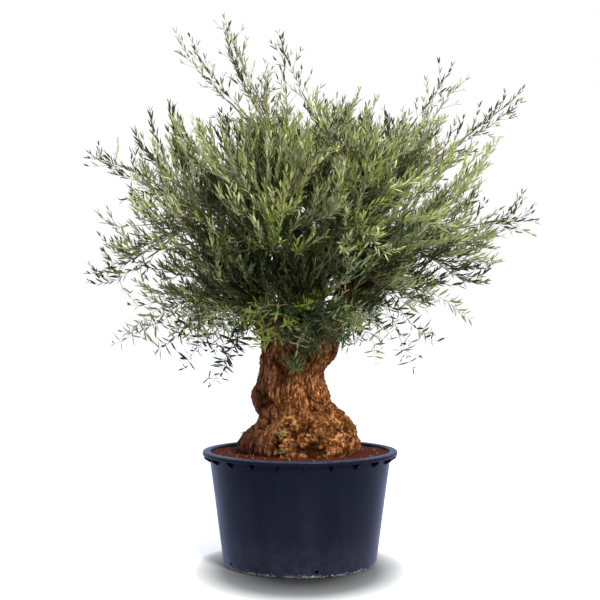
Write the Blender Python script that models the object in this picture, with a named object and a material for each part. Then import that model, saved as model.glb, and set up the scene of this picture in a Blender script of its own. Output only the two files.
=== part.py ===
"""A potted olive tree: an old, thick, fluted trunk in a round black nursery pot.

The trunk carries a fan of short main boughs, and each bough ends in a mass of
foliage. Metres, +Z up. The origin is the middle of the pot's flat underside,
-Y is the front, and +X is to the right of someone who stands in front.
"""

import math
import random

import bmesh
import bpy
import numpy as np
from mathutils import Vector, noise
from mathutils.bvhtree import BVHTree

# ---------------------------------------------------------------- driving sizes
GAP = 0.0003  # clearance between pieces that touch

# The pot: a moulded nursery container with a flanged rim.
POT_HEIGHT = 0.580
POT_RIM_RADIUS = 0.500
POT_TOP_RADIUS = 0.468  # outside of the wall, just under the flange
POT_FOOT_RADIUS = 0.392  # where the wall would meet the ground
POT_WALL = 0.006
POT_CORNER = 0.016  # rounding between the wall and the underside
POT_CORNER_STEPS = 4
POT_RIM_BEVEL = 0.004
POT_LIP_DROP = 0.022  # the flange's turned-down lip
POT_SIDES = 36
RIB_COUNT = 22  # gussets under the flange
RIB_DEPTH = 0.048  # from the rim's top down to a rib's foot
RIB_WIDTH = 0.0045
RIB_FIRST_DEG = 2.6
DRAIN_COUNT = 5
DRAIN_RADIUS = 0.0085
DRAIN_SIDES = 8
DRAIN_HEIGHT = 0.033
DRAIN_FIRST_DEG = 11.8

SOIL_LEVEL = 0.570

# The trunk's outline by height above its base, which lies just under the soil's
# top: height, middle across, half-width, half-depth.
TRUNK_BASE = 0.562
TRUNK_SECTIONS = (
    (0.000, -0.006, 0.300, 0.250),
    (0.060, -0.004, 0.298, 0.246),
    (0.120, 0.006, 0.262, 0.222),
    (0.170, 0.010, 0.215, 0.196),
    (0.212, 0.000, 0.204, 0.188),
    (0.250, -0.030, 0.184, 0.174),
    (0.305, -0.038, 0.182, 0.172),
    (0.385, -0.042, 0.158, 0.156),
    (0.450, -0.040, 0.155, 0.154),
    (0.490, -0.024, 0.172, 0.162),
    (0.540, -0.012, 0.186, 0.168),
    (0.600, 0.000, 0.190, 0.172),
    (0.660, 0.002, 0.178, 0.164),
    (0.705, 0.002, 0.120, 0.115),
)
TRUNK_SIDES = 26
TRUNK_RINGS = 26
# Buttress roots: bearing in degrees, how far each stands out, angular half-width.
BUTTRESSES = (
    (177, 0.21, 20),
    (232, 0.10, 15),
    (268, 0.12, 20),
    (318, 0.15, 24),
    (12, 0.12, 18),
    (72, 0.14, 22),
    (125, 0.12, 20),
)
BUTTRESS_FADE = 0.15  # height over which a buttress dies into the trunk
# Burls and knobs: bearing, height above the base, size, how far each stands out.
BURLS = (
    (182, 0.300, 0.075, 0.024),
    (2, 0.505, 0.055, 0.030),
    (345, 0.150, 0.090, 0.030),
    (250, 0.075, 0.070, 0.026),
    (60, 0.340, 0.080, 0.022),
    (120, 0.520, 0.070, 0.020),
)
WAIST_BETWEEN = 0.10  # how far the foot draws in between its buttresses
FLUTES = 9  # shallow folds that run up the trunk
FLUTE_DEPTH = 0.035
FLUTE_TWIST = 5.0  # radians that the folds turn for each metre of height

# The crown. Its reach from the heart, by elevation in degrees, on either side.
CROWN_HEART = Vector((0.026, 0.0, 1.733))
REACH_RIGHT = (
    (-60, 0.70), (-45, 0.77), (-30, 0.90), (-15, 1.06), (0, 1.17), (12, 1.14),
    (25, 1.09), (35, 1.02), (45, 0.93), (55, 0.84), (70, 0.77), (90, 0.75),
)  # fmt: skip
REACH_LEFT = (
    (-60, 0.82), (-45, 0.90), (-30, 1.02), (-15, 1.05), (0, 1.09), (12, 1.13),
    (22, 1.14), (32, 1.05), (42, 0.95), (55, 0.82), (70, 0.77), (90, 0.75),
)  # fmt: skip
DEPTH_SHARE = 0.93  # the crown is a little shallower than it is wide
# Rings of masses: name, bearing of the first, how many, elevation of each mass's
# tip, how far out its middle lies as a share of the reach, and its half-width.
TIERS = (
    ("low", 14, 7, -27, 0.60, 0.33),
    ("middle", 2, 8, -1, 0.62, 0.37),
    ("high", 20, 7, 24, 0.62, 0.37),
    ("upper", 50, 4, 54, 0.58, 0.35),
)
TIER_WOBBLE_DEG = 5  # how far a tip strays from its even place in the ring
TOP_SHARE = 0.50
TOP_HALF_WIDTH = 0.34
# Sprays that stand out of the dome: name, foot, tip, half-width.
SPRAYS = (
    ("mass_spire", (-0.360, 0.000, 2.250), (-0.400, 0.000, 2.830), 0.110),
    ("mass_spray_top_left", (-0.480, -0.020, 2.230), (-0.635, -0.020, 2.715), 0.070),
    ("mass_spray_top", (-0.030, 0.040, 2.330), (-0.090, 0.040, 2.700), 0.080),
    ("mass_spray_top_right", (0.560, -0.040, 2.180), (0.775, -0.040, 2.540), 0.085),
    ("mass_spray_top_back", (-0.120, 0.440, 2.220), (-0.200, 0.640, 2.620), 0.080),
    ("mass_spray_upper_right", (0.780, 0.060, 2.060), (1.150, 0.060, 2.440), 0.095),
    ("mass_spray_right", (0.900, -0.040, 1.750), (1.205, -0.040, 1.800), 0.080),
    ("mass_spray_left", (-0.840, 0.040, 2.000), (-1.105, 0.040, 2.130), 0.085),
    ("mass_spray_lower_left", (-0.820, 0.020, 1.500), (-1.085, 0.020, 1.440), 0.080),
    ("mass_spray_front", (0.100, -0.800, 1.960), (0.160, -1.080, 2.180), 0.085),
    ("mass_spray_back", (0.280, 0.760, 1.980), (0.380, 1.040, 2.240), 0.085),
    ("mass_hanging_left", (-0.480, -0.060, 1.260), (-0.970, -0.060, 1.120), 0.100),
    ("mass_hanging_low_left", (-0.375, -0.200, 1.220), (-0.480, -0.240, 0.905), 0.085),
    ("mass_hanging_right", (0.370, -0.120, 1.240), (0.760, -0.200, 1.110), 0.085),
    ("mass_hanging_low_right", (0.420, -0.210, 1.210), (0.600, -0.290, 0.985), 0.062),
)
MASS_POINTS = 92  # points spread over each mass of the dome
SPRAY_POINTS = 48
MASS_UNEVEN = 0.20  # depth of the lumps as a share of the reach
MASS_LUMPS = 2.2  # lumps across a mass
TIP_SHARPNESS = 8  # how closely the evenness of the tip is kept to the tip
PLANE_MARGIN = 0.15  # the least share of the way that a shared plane stands off
RAY_STEPS = 160  # steps out from a mass's middle, to find what is in the way
# The hollow round the fork where the boughs part.
CORE_MIDDLE = Vector((0.0, 0.0, 1.46))
CORE_HALF = Vector((0.38, 0.35, 0.35))
TRUNK_CLEAR = 0.255  # masses keep this far from the trunk's middle line
SEED = 7

# Main boughs: the mass each one aims at, its thickness and its slope at the fork.
OUTER_BOUGHS = (
    ("right", "mass_middle_1", 0.062, 62),
    ("back_right", "mass_middle_2", 0.050, 44),
    ("back", "mass_middle_3", 0.050, 40),
    ("back_left", "mass_middle_4", 0.050, 44),
    ("left", "mass_middle_5", 0.062, 62),
    ("front_left", "mass_middle_6", 0.050, 58),
    ("front", "mass_middle_7", 0.046, 48),
    ("front_right", "mass_middle_8", 0.050, 58),
)
INNER_BOUGHS = (
    ("upper_right", "mass_upper_4", 0.040, 74),
    ("upper_back", "mass_upper_1", 0.038, 74),
    ("upper_left", "mass_upper_2", 0.042, 74),
    ("upper_front", "mass_upper_3", 0.038, 74),
)
# Where the boughs of each ring start: out from the middle line, and height.
OUTER_START = (0.112, 1.120)
INNER_START = (0.062, 1.180)
BOUGH_TAPER = 0.45  # loss of thickness from the fork to the middle of a mass
BOUGH_SIDES = 7
BOUGH_RINGS = 5
BEND_STEPS = 60  # steps along a bend, to find where it meets foliage
BOUGH_IN_MASS = 0.05  # length inside the foliage that the cut takes off
FOLIAGE_SWELL = 0.0005  # clearance of a bough from the masses it ends in


# ---------------------------------------------------------------------- helpers
def clear_scene():
    for obj in list(bpy.data.objects):
        bpy.data.objects.remove(obj, do_unlink=True)


def material(name, colour, roughness, metallic=0.0):
    made = bpy.data.materials.new(name)
    made.use_nodes = True
    surface = made.node_tree.nodes["Principled BSDF"]
    surface.inputs["Base Color"].default_value = (*colour, 1.0)
    surface.inputs["Roughness"].default_value = roughness
    surface.inputs["Metallic"].default_value = metallic
    return made


def add_object(name, mesh, finish, smooth_deg=None):
    obj = bpy.data.objects.new(name, mesh)
    bpy.context.scene.collection.objects.link(obj)
    mesh.materials.append(finish)
    if smooth_deg is not None:
        mesh.shade_smooth()
        mesh.set_sharp_from_angle(angle=math.radians(smooth_deg))
    return obj


def mesh_from(name, points, faces, triangles=False):
    """A mesh whose faces all point outwards."""
    mesh = bpy.data.meshes.new(name)
    mesh.from_pydata([tuple(p) for p in points], [], faces)
    cage = bmesh.new()
    cage.from_mesh(mesh)
    bmesh.ops.recalc_face_normals(cage, faces=cage.faces)
    if triangles:
        bmesh.ops.triangulate(cage, faces=cage.faces)
    cage.to_mesh(mesh)
    cage.free()
    return mesh


def loft(name, rings):
    """A closed skin over rings of equally many points, with flat ends.

    It is in triangles, so that a cut follows the very faces that show."""
    sides = len(rings[0])
    points = [p for ring in rings for p in ring]
    faces = []
    for row in range(len(rings) - 1):
        for i in range(sides):
            j = (i + 1) % sides
            low, high = row * sides, (row + 1) * sides
            faces.append((low + i, low + j, high + j, high + i))
    faces.append(tuple(range(sides))[::-1])
    faces.append(tuple(range(len(points) - sides, len(points))))
    return mesh_from(name, points, faces, triangles=True)


def turned(name, profile, sides):
    """A solid of revolution about Z, from a closed outline of (radius, height)."""
    points, rows = [], []
    for radius, height in profile:
        if radius == 0:
            rows.append([len(points)] * sides)
            points.append((0.0, 0.0, height))
            continue
        rows.append(list(range(len(points), len(points) + sides)))
        for i in range(sides):
            turn = math.tau * i / sides
            points.append((radius * math.cos(turn), radius * math.sin(turn), height))
    faces = []
    for one, other in zip(rows, rows[1:] + rows[:1]):
        for i in range(sides):
            j = (i + 1) % sides
            corners = dict.fromkeys((one[i], one[j], other[j], other[i]))
            if len(corners) > 2:
                faces.append(tuple(corners))
    return mesh_from(name, points, faces)


def smooth_between(table, at):
    """The rows of a table, keyed by their first number, joined by a smooth curve."""
    keys = [row[0] for row in table]
    at = min(max(at, keys[0]), keys[-1])
    last = len(keys) - 1
    i = min(sum(key <= at for key in keys) - 1, last - 1)
    share = (at - keys[i]) / (keys[i + 1] - keys[i])
    before, start = table[max(i - 1, 0)], table[i]
    end, after = table[i + 1], table[min(i + 2, last)]
    values = []
    for a, b, c, d in zip(before[1:], start[1:], end[1:], after[1:]):
        rise, bow = c - a, 2 * a - 5 * b + 4 * c - d
        twist = 3 * b - a - 3 * c + d
        values.append(b + 0.5 * share * (rise + share * (bow + share * twist)))
    return values


def bearing_vector(bearing_deg, elevation_deg):
    """A unit vector; a bearing runs from +X towards +Y."""
    turn, lift = math.radians(bearing_deg), math.radians(elevation_deg)
    flat = math.cos(lift)
    return Vector((math.cos(turn) * flat, math.sin(turn) * flat, math.sin(lift)))


def bearing_gap(a, b):
    """The angle between two bearings, in degrees."""
    return abs((a - b + 180) % 360 - 180)


def cut(obj, cutter, operation="DIFFERENCE"):
    step = obj.modifiers.new(operation.lower(), "BOOLEAN")
    step.operation = operation
    step.object = cutter
    step.solver = "EXACT"


def helper(name, mesh):
    """A hidden object that only shapes others."""
    obj = bpy.data.objects.new(name, mesh)
    bpy.context.scene.collection.objects.link(obj)
    obj.hide_render = True
    obj.display_type = "WIRE"
    return obj


def as_cutter(obj, name, swell):
    """A hidden copy, swollen by a hair, for cutting a neighbour back to it."""
    copy = helper(name, obj.data.copy())
    grow = copy.modifiers.new("swell", "DISPLACE")
    grow.mid_level = 0.0
    grow.strength = swell
    return copy


# -------------------------------------------------------------------------- pot
def wall_radius(height):
    """Outside of the pot's wall."""
    return POT_FOOT_RADIUS + (POT_TOP_RADIUS - POT_FOOT_RADIUS) * height / POT_HEIGHT


def pot_outline():
    """Half of the pot's section, from the middle of the underside round to the floor."""
    outline = [(0, 0.0)]
    middle = wall_radius(POT_CORNER) - POT_CORNER
    for step in range(POT_CORNER_STEPS + 1):
        turn = math.radians(90 * step / POT_CORNER_STEPS)
        across, up = POT_CORNER * math.sin(turn), POT_CORNER * (1 - math.cos(turn))
        outline.append((middle + across, up))
    under = POT_HEIGHT - POT_WALL
    outline += [
        (wall_radius(under), under),
        (POT_RIM_RADIUS - POT_WALL, under),
        (POT_RIM_RADIUS - POT_WALL, POT_HEIGHT - POT_LIP_DROP),
        (POT_RIM_RADIUS, POT_HEIGHT - POT_LIP_DROP),
        (POT_RIM_RADIUS, POT_HEIGHT - POT_RIM_BEVEL),
        (POT_RIM_RADIUS - POT_RIM_BEVEL, POT_HEIGHT),
        (wall_radius(POT_HEIGHT) - POT_WALL, POT_HEIGHT),
        (wall_radius(POT_WALL * 2) - POT_WALL, POT_WALL * 2),
        (wall_radius(0) - POT_WALL - POT_CORNER, POT_WALL),
        (0, POT_WALL),
    ]
    return outline


def rim_rib(bearing_deg):
    """One upright gusset between the wall and the lip, as two flat sides.

    It reaches halfway into the wall, the lip and the flange, so that they join."""
    half_wall = POT_WALL / 2
    foot, top = POT_HEIGHT - RIB_DEPTH, POT_HEIGHT - half_wall
    outer = POT_RIM_RADIUS - half_wall
    outline = (
        (wall_radius(foot) - half_wall, foot),
        (outer - POT_WALL, foot),
        (outer, POT_HEIGHT - POT_LIP_DROP + half_wall),
        (outer, top),
        (wall_radius(top) - half_wall, top),
    )
    out, across = bearing_vector(bearing_deg - 90, 0), bearing_vector(bearing_deg, 0)
    return [
        [out * r + across * side + Vector((0, 0, z)) for r, z in outline]
        for side in (-RIB_WIDTH / 2, RIB_WIDTH / 2)
    ]


def drain_bore(bearing_deg):
    """A short bar that bores one drain hole low in the wall."""
    out, across = bearing_vector(bearing_deg - 90, 0), bearing_vector(bearing_deg, 0)
    wall = wall_radius(DRAIN_HEIGHT)
    rings = []
    for reach in (wall - 3 * POT_WALL, wall + 2 * POT_WALL):
        ring = []
        for i in range(DRAIN_SIDES):
            a = math.tau * i / DRAIN_SIDES
            lift = Vector((0, 0, DRAIN_HEIGHT + DRAIN_RADIUS * math.sin(a)))
            ring.append(out * reach + across * DRAIN_RADIUS * math.cos(a) + lift)
        rings.append(ring)
    return rings


def many_lofts(name, ring_sets):
    """Several separate lofts in one helper mesh."""
    points, faces = [], []
    for rings in ring_sets:
        part = loft(name, rings)
        start = len(points)
        points += [v.co.copy() for v in part.vertices]
        faces += [tuple(start + i for i in f.vertices) for f in part.polygons]
        bpy.data.meshes.remove(part)
    return mesh_from(name, points, faces)


def make_pot(finish):
    pot = add_object("pot", turned("pot", pot_outline(), POT_SIDES), finish, 35)
    ribs = [rim_rib(RIB_FIRST_DEG + 360 * i / RIB_COUNT) for i in range(RIB_COUNT)]
    drains = [
        drain_bore(DRAIN_FIRST_DEG + 360 * i / DRAIN_COUNT)
        for i in range(DRAIN_COUNT)
    ]
    cut(pot, helper("rib_shapes", many_lofts("rib_shapes", ribs)), "UNION")
    cut(pot, helper("drain_shapes", many_lofts("drain_shapes", drains)))
    return pot


def make_soil(finish):
    """The fill of the pot, up to a level top just under the rim."""
    floor = POT_WALL + GAP
    shoulder = POT_WALL * 2
    inset = POT_WALL + GAP
    outline = [
        (0, floor),
        (wall_radius(0) - inset - POT_CORNER, floor),
        (wall_radius(shoulder) - inset, shoulder + GAP),
        (wall_radius(SOIL_LEVEL) - inset, SOIL_LEVEL),
        (0, SOIL_LEVEL),
    ]
    return add_object("soil", turned("soil", outline, POT_SIDES), finish, 35)


# ------------------------------------------------------------------------ trunk
def trunk_radius(bearing_deg, height):
    """How far the bark stands from the trunk's middle line."""
    _, half_width, half_depth = smooth_between(TRUNK_SECTIONS, height)
    turn = math.radians(bearing_deg)
    oval = 1 / math.hypot(math.cos(turn) / half_width, math.sin(turn) / half_depth)
    swell = 0.0
    for bearing, stand_out, width in BUTTRESSES:
        across = bearing_gap(bearing_deg, bearing) / width
        swell += stand_out * math.exp(-across * across - height / BUTTRESS_FADE)
    hollow = WAIST_BETWEEN * math.exp(-height / BUTTRESS_FADE)
    flute = FLUTE_DEPTH * math.sin(turn * FLUTES + FLUTE_TWIST * height + 1.0)
    radius = oval * (1 + swell - hollow + flute)
    for bearing, up, size, stand_out in BURLS:
        across = radius * math.radians(bearing_gap(bearing_deg, bearing))
        away = math.hypot(across, height - up) / size
        radius += stand_out * math.exp(-away * away)
    return radius


def make_trunk(finish):
    """Lofted rings from the flat cut at the soil to the rounded head."""
    low, top = SOIL_LEVEL + GAP - TRUNK_BASE, TRUNK_SECTIONS[-1][0]
    rings = []
    for row in range(TRUNK_RINGS):
        height = low + (top - low) * row / (TRUNK_RINGS - 1)
        middle = smooth_between(TRUNK_SECTIONS, height)[0]
        ring = []
        for i in range(TRUNK_SIDES):
            bearing = 360 * i / TRUNK_SIDES
            radius = trunk_radius(bearing, height)
            turn = math.radians(bearing)
            x, y = middle + radius * math.cos(turn), radius * math.sin(turn)
            ring.append(Vector((x, y, TRUNK_BASE + height)))
        rings.append(ring)
    return add_object("trunk", loft("trunk", rings), finish, 60)


# ------------------------------------------------------------------------ crown
def crown_reach(bearing_deg, elevation_deg):
    """The crown's reach from its heart in a direction."""
    right = np.interp(elevation_deg, *np.transpose(REACH_RIGHT))
    left = np.interp(elevation_deg, *np.transpose(REACH_LEFT))
    across = bearing_vector(bearing_deg, 0).x
    side = 0.5 + 0.5 * across
    depth = DEPTH_SHARE + (1 - DEPTH_SHARE) * abs(across)
    flat = math.cos(math.radians(elevation_deg))
    return float(right * side + left * (1 - side)) * (1 - (1 - depth) * flat)


def dome_mass(name, bearing, elevation, share, half_width):
    """A mass of the dome: it points outwards and its tip lies at the crown's reach."""
    axis = bearing_vector(bearing, elevation)
    reach = crown_reach(bearing, elevation)
    return {
        "name": name,
        "middle": CROWN_HEART + axis * reach * share,
        "axis": axis,
        "half_long": reach * (1 - share),
        "half_wide": half_width,
        "points": MASS_POINTS,
    }


def spray_mass(name, foot, tip, half_width):
    """A slender mass from its foot in the dome to its own tip."""
    foot, tip = Vector(foot), Vector(tip)
    return {
        "name": name,
        "middle": (foot + tip) / 2,
        "axis": (tip - foot).normalized(),
        "half_long": (tip - foot).length / 2,
        "half_wide": half_width,
        "points": SPRAY_POINTS,
    }


def crown_masses():
    """Every mass of the crown: its name, middle, axis and half-sizes."""
    chance = random.Random(SEED)
    wobble = TIER_WOBBLE_DEG
    masses = []
    for tier, first, count, elevation, share, half_width in TIERS:
        for i in range(count):
            bearing = first + 360 * i / count + chance.uniform(-wobble, wobble)
            lift = elevation + chance.uniform(-wobble, wobble)
            name = f"mass_{tier}_{i + 1}"
            masses.append(dome_mass(name, bearing, lift, share, half_width))
    masses.append(dome_mass("mass_top", 0, 90, TOP_SHARE, TOP_HALF_WIDTH))
    masses += [spray_mass(*spray) for spray in SPRAYS]
    return masses


def ball_directions(count):
    """Evenly spread unit vectors, and the triangles that join them."""
    cage = bmesh.new()
    for i in range(count):
        z = 1 - 2 * i / (count - 1)
        turn = i * math.pi * (3 - math.sqrt(5))
        flat = math.sqrt(max(1 - z * z, 0))
        cage.verts.new((flat * math.cos(turn), flat * math.sin(turn), z))
    bmesh.ops.convex_hull(cage, input=cage.verts)
    cage.verts.index_update()
    points = np.array([v.co[:] for v in cage.verts])
    faces = [tuple(v.index for v in f.verts) for f in cage.faces]
    cage.free()
    return points, faces


def turned_to(axis, directions):
    """Turn the even points so that the first lies on a mass's axis, at its tip."""
    turn = np.array(Vector(axis).to_track_quat("Z", "Y").to_matrix())
    return directions @ turn.T


def reach_along(mass, directions):
    """The reach of a mass's plain spindle in each direction."""
    along = directions @ np.array(mass["axis"])
    aside = np.sqrt(np.clip(1 - along**2, 0, 1))
    return 1 / np.hypot(along / mass["half_long"], aside / mass["half_wide"])


def own_reach(mass, directions):
    """How far a lone mass would spread in each direction: an uneven spindle."""
    middle = mass["middle"]
    bumps = [noise.noise(Vector(d) * MASS_LUMPS + middle * 5) for d in directions]
    # The very tip stays where the driving sizes put it.
    along = np.clip(directions @ np.array(mass["axis"]), 0, 1)
    uneven = MASS_UNEVEN * (1 - along**TIP_SHARPNESS)
    return reach_along(mass, directions) * (1 + uneven * np.array(bumps))


def wall_distance(mass, other, directions):
    """How far each ray runs before it meets the plane shared with a neighbour.

    The plane stands halfway through the two spindles' overlap, on the line
    between their middles, and each mass keeps half of the clearance."""
    across = np.array(other["middle"] - mass["middle"])
    apart = np.linalg.norm(across)
    facing = across / apart
    plane = 0.5 * (apart + reach_along(mass, facing) - reach_along(other, facing))
    plane = min(max(plane, PLANE_MARGIN * apart), (1 - PLANE_MARGIN) * apart) - GAP
    towards = directions @ facing
    return np.where(towards > 1e-6, plane / np.maximum(towards, 1e-6), np.inf)


def in_the_way(points):
    """True where the hollow round the fork, or the trunk, keeps foliage out."""
    core = (points - np.array(CORE_MIDDLE)) / np.array(CORE_HALF)
    hollow = np.linalg.norm(core, axis=-1) < 1
    near_trunk = np.hypot(points[..., 0], points[..., 1]) < TRUNK_CLEAR
    return hollow | (near_trunk & (points[..., 2] < CORE_MIDDLE.z))


def make_mass(mass, masses, finish):
    """Push the points of a ball out to the mass's own reach, as far as it is free."""
    even, faces = ball_directions(mass["points"])
    directions = turned_to(mass["axis"], even)
    reach = own_reach(mass, directions)
    for other in masses:
        if other is not mass:
            reach = np.minimum(reach, wall_distance(mass, other, directions))
    middle = np.array(mass["middle"])
    steps = np.linspace(0, 1, RAY_STEPS + 1)
    along = middle + directions[:, None, :] * (reach[:, None] * steps)[..., None]
    blocked = in_the_way(along)
    first = np.where(blocked.any(axis=1), blocked.argmax(axis=1) - 1, len(steps) - 1)
    reach = reach * steps[np.maximum(first, 1)]
    points = middle + directions * reach[:, None]
    return add_object(mass["name"], mesh_from(mass["name"], points, faces), finish, 50)


# ----------------------------------------------------------------------- boughs
def bough_bend(start, slope_deg, mass):
    """A bend that leaves the trunk's head at its slope and aims at the mass."""
    out, up = start
    end = mass["middle"]
    bearing = math.degrees(math.atan2(end.y, end.x))
    foot = bearing_vector(bearing, 0) * out + Vector((0, 0, up))
    knee = foot + bearing_vector(bearing, slope_deg) * (end - foot).length * 0.5
    return lambda t: foot * (1 - t) ** 2 + knee * 2 * t * (1 - t) + end * t * t


def share_to_foliage(bend, foliage):
    """How much of a bend lies outside the foliage, plus a little for the cut."""
    for step in range(BEND_STEPS):
        here, ahead = bend(step / BEND_STEPS), bend((step + 1) / BEND_STEPS)
        run = (ahead - here).length
        hit = foliage.ray_cast(here, (ahead - here).normalized(), run)
        if hit[0] is not None:
            return min((step + 1 + BOUGH_IN_MASS / run) / BEND_STEPS, 1.0)
    return 1.0


def make_bough(name, bend, thickness, foliage, finish):
    """A tapering limb along a bend, from inside the trunk to just inside a mass."""
    share = share_to_foliage(bend, foliage)
    rings = []
    for row in range(BOUGH_RINGS):
        t = share * row / (BOUGH_RINGS - 1)
        turn = (bend(t + 0.01) - bend(t)).to_track_quat("Z", "Y")
        radius = thickness * (1 - BOUGH_TAPER * t)
        ring = []
        for i in range(BOUGH_SIDES):
            a = math.tau * i / BOUGH_SIDES
            spoke = Vector((math.cos(a), math.sin(a), 0)) * radius
            ring.append(bend(t) + turn @ spoke)
        rings.append(ring)
    return add_object(name, loft(name, rings), finish, 60)


def skin_of(objects):
    """One search tree over the faces of several objects."""
    points, faces = [], []
    for obj in objects:
        start = len(points)
        points += [v.co.copy() for v in obj.data.vertices]
        faces += [tuple(start + i for i in f.vertices) for f in obj.data.polygons]
    return BVHTree.FromPolygons(points, faces)


def cut_back(bough, skins, cutters):
    """Cut a bough back to every mass that it reaches."""
    own = skin_of([bough])
    for name, skin in skins.items():
        if own.overlap(skin):
            cut(bough, cutters[name])


# ------------------------------------------------------------------------- build
def main():
    clear_scene()
    plastic = material("pot_plastic", (0.022, 0.024, 0.034), 0.42)
    earth = material("soil", (0.075, 0.026, 0.016), 0.95)
    bark = material("bark", (0.21, 0.10, 0.045), 0.9)
    leaves = material("foliage", (0.12, 0.15, 0.055), 0.6)

    make_pot(plastic)
    make_soil(earth)
    trunk = make_trunk(bark)
    trunk_cutter = as_cutter(trunk, "trunk_cutter", GAP)

    masses = crown_masses()
    made = {mass["name"]: make_mass(mass, masses, leaves) for mass in masses}
    skins = {name: skin_of([obj]) for name, obj in made.items()}
    cutters = {
        name: as_cutter(obj, f"{name}_cutter", FOLIAGE_SWELL)
        for name, obj in made.items()
    }
    foliage = skin_of(made.values())
    by_name = {m["name"]: m for m in masses}
    for boughs, start in ((OUTER_BOUGHS, OUTER_START), (INNER_BOUGHS, INNER_START)):
        for name, target, thickness, slope_deg in boughs:
            bend = bough_bend(start, slope_deg, by_name[target])
            bough = make_bough(f"bough_{name}", bend, thickness, foliage, bark)
            cut(bough, trunk_cutter)
            cut_back(bough, skins, cutters)


main()
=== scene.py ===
# %% [markdown]
# # A potted olive tree
# An old olive: a short, burled trunk in a big black nursery pot, under a wide loose crown of whippy
# shoots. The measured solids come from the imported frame. This lesson dresses them: a moulded pot,
# loose soil, bark with real relief, and a crown that is grown shoot by shoot and leaf by leaf.

import math

import bmesh
import bpy
import numpy as np
from mathutils import Matrix, Vector, noise
from mathutils.bvhtree import BVHTree


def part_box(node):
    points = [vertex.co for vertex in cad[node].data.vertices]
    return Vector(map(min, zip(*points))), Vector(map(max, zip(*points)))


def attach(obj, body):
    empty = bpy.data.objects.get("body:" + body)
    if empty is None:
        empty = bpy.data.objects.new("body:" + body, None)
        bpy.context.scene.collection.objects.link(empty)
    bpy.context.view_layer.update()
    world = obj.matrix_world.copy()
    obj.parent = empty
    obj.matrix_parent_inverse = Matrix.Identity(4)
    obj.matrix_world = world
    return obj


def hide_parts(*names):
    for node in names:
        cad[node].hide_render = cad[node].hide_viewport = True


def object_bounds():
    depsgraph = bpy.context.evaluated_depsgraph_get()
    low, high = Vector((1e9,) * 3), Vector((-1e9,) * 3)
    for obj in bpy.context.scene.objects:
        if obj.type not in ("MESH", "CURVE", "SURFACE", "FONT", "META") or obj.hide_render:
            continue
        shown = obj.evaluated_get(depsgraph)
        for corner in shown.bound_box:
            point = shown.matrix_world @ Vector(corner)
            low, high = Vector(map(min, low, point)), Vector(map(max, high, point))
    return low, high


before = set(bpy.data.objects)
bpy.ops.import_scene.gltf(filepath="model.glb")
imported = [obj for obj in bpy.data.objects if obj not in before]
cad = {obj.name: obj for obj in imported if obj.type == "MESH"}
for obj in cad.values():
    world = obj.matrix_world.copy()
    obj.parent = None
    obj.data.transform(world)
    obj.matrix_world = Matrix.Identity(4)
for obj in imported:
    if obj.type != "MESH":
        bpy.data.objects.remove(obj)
cad_box = [list(corner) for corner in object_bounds()]
SEED = 7
print("frame:", len(cad), "solids,", [round(high - low, 3) for low, high in zip(*cad_box)], "m")

# %% [markdown]
# ## Camera
# The tree is looked at from six and a half metres away, level, from a little below the middle of
# the crown. A long lens at that distance keeps the pot's rim a thin ellipse.

# %% Camera
EYE = (0.0, -6.5, 1.35)
LENS_MM = 75.8
SENSOR_MM = 36.0
camera_data = bpy.data.cameras.new("camera")
camera_data.lens = LENS_MM
camera_data.sensor_width = SENSOR_MM
camera = bpy.data.objects.new("camera", camera_data)
camera.location = EYE
camera.rotation_euler = (math.radians(90), 0, 0)
bpy.context.scene.collection.objects.link(camera)
bpy.context.scene.camera = camera

# %% [markdown]
# ## Small helpers
# Every piece below ends as a plain mesh object at the origin, so a few functions make meshes and
# objects. The others build node trees. `put` adds a node and connects or fills its inputs in order,
# `give_all` does so by name. The rest are the nodes that are used most; they are added to the tree
# that their values come from.


# %% Helpers for meshes and nodes
def add_object(name, mesh):
    made = bpy.data.objects.new(name, mesh)
    bpy.context.scene.collection.objects.link(made)
    return made


def mesh_from(name, points, faces=(), edges=()):
    mesh = bpy.data.meshes.new(name)
    mesh.from_pydata([tuple(p) for p in points], [tuple(e) for e in edges], [tuple(f) for f in faces])
    return mesh


def mesh_of(name, shape):
    """Keeps a shape that was edited point by point as a mesh."""
    mesh = bpy.data.meshes.new(name)
    shape.to_mesh(mesh)
    shape.free()
    return mesh


def keep_values(mesh, domain, values):
    """Stores named numbers on a mesh, one for each point or face."""
    for label, numbers in values.items():
        layer = mesh.attributes.new(label, "FLOAT", domain)
        layer.data.foreach_set("value", np.array(numbers, np.float32))


def triangles(obj):
    obj.data.calc_loop_triangles()
    return len(obj.data.loop_triangles)


def give(socket, value):
    """Connects an output to this input, or fills it with a number, a vector or a colour."""
    if isinstance(value, bpy.types.NodeSocket):
        socket.id_data.links.new(value, socket)
    elif isinstance(value, tuple) and len(socket.default_value) == 4:
        socket.default_value = (*value, 1)
    elif value is not None:
        socket.default_value = value


def put(tree, kind, *values, **settings):
    """Adds a node with these settings, and gives its inputs the values in order."""
    made = tree.nodes.new(kind)
    for key, setting in settings.items():
        setattr(made, key, setting)
    for socket, value in zip([socket for socket in made.inputs if socket.enabled], values):
        give(socket, value)
    return made


def give_all(node, values):
    for label, value in values.items():
        give(node.inputs[label], value)


def tree_of(*values):
    """The tree of the first output among the values."""
    return next(value.id_data for value in values if isinstance(value, bpy.types.NodeSocket))


def sums(operation, *values):
    return put(tree_of(*values), "ShaderNodeMath", *values, operation=operation).outputs["Value"]


def arrows(operation, *values):
    """Sums on vectors. The answer is a number for a length."""
    made = put(tree_of(*values), "ShaderNodeVectorMath", *values, operation=operation)
    return made.outputs["Value" if operation == "LENGTH" else "Vector"]


def place_in(tree):
    return put(tree, "ShaderNodeTexCoord").outputs["Object"]


def noise_in(place, *settings):
    """Noise from 0 to 1. The settings are scale, detail and roughness."""
    return put(place.id_data, "ShaderNodeTexNoise", place, *settings).outputs["Fac"]


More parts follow.
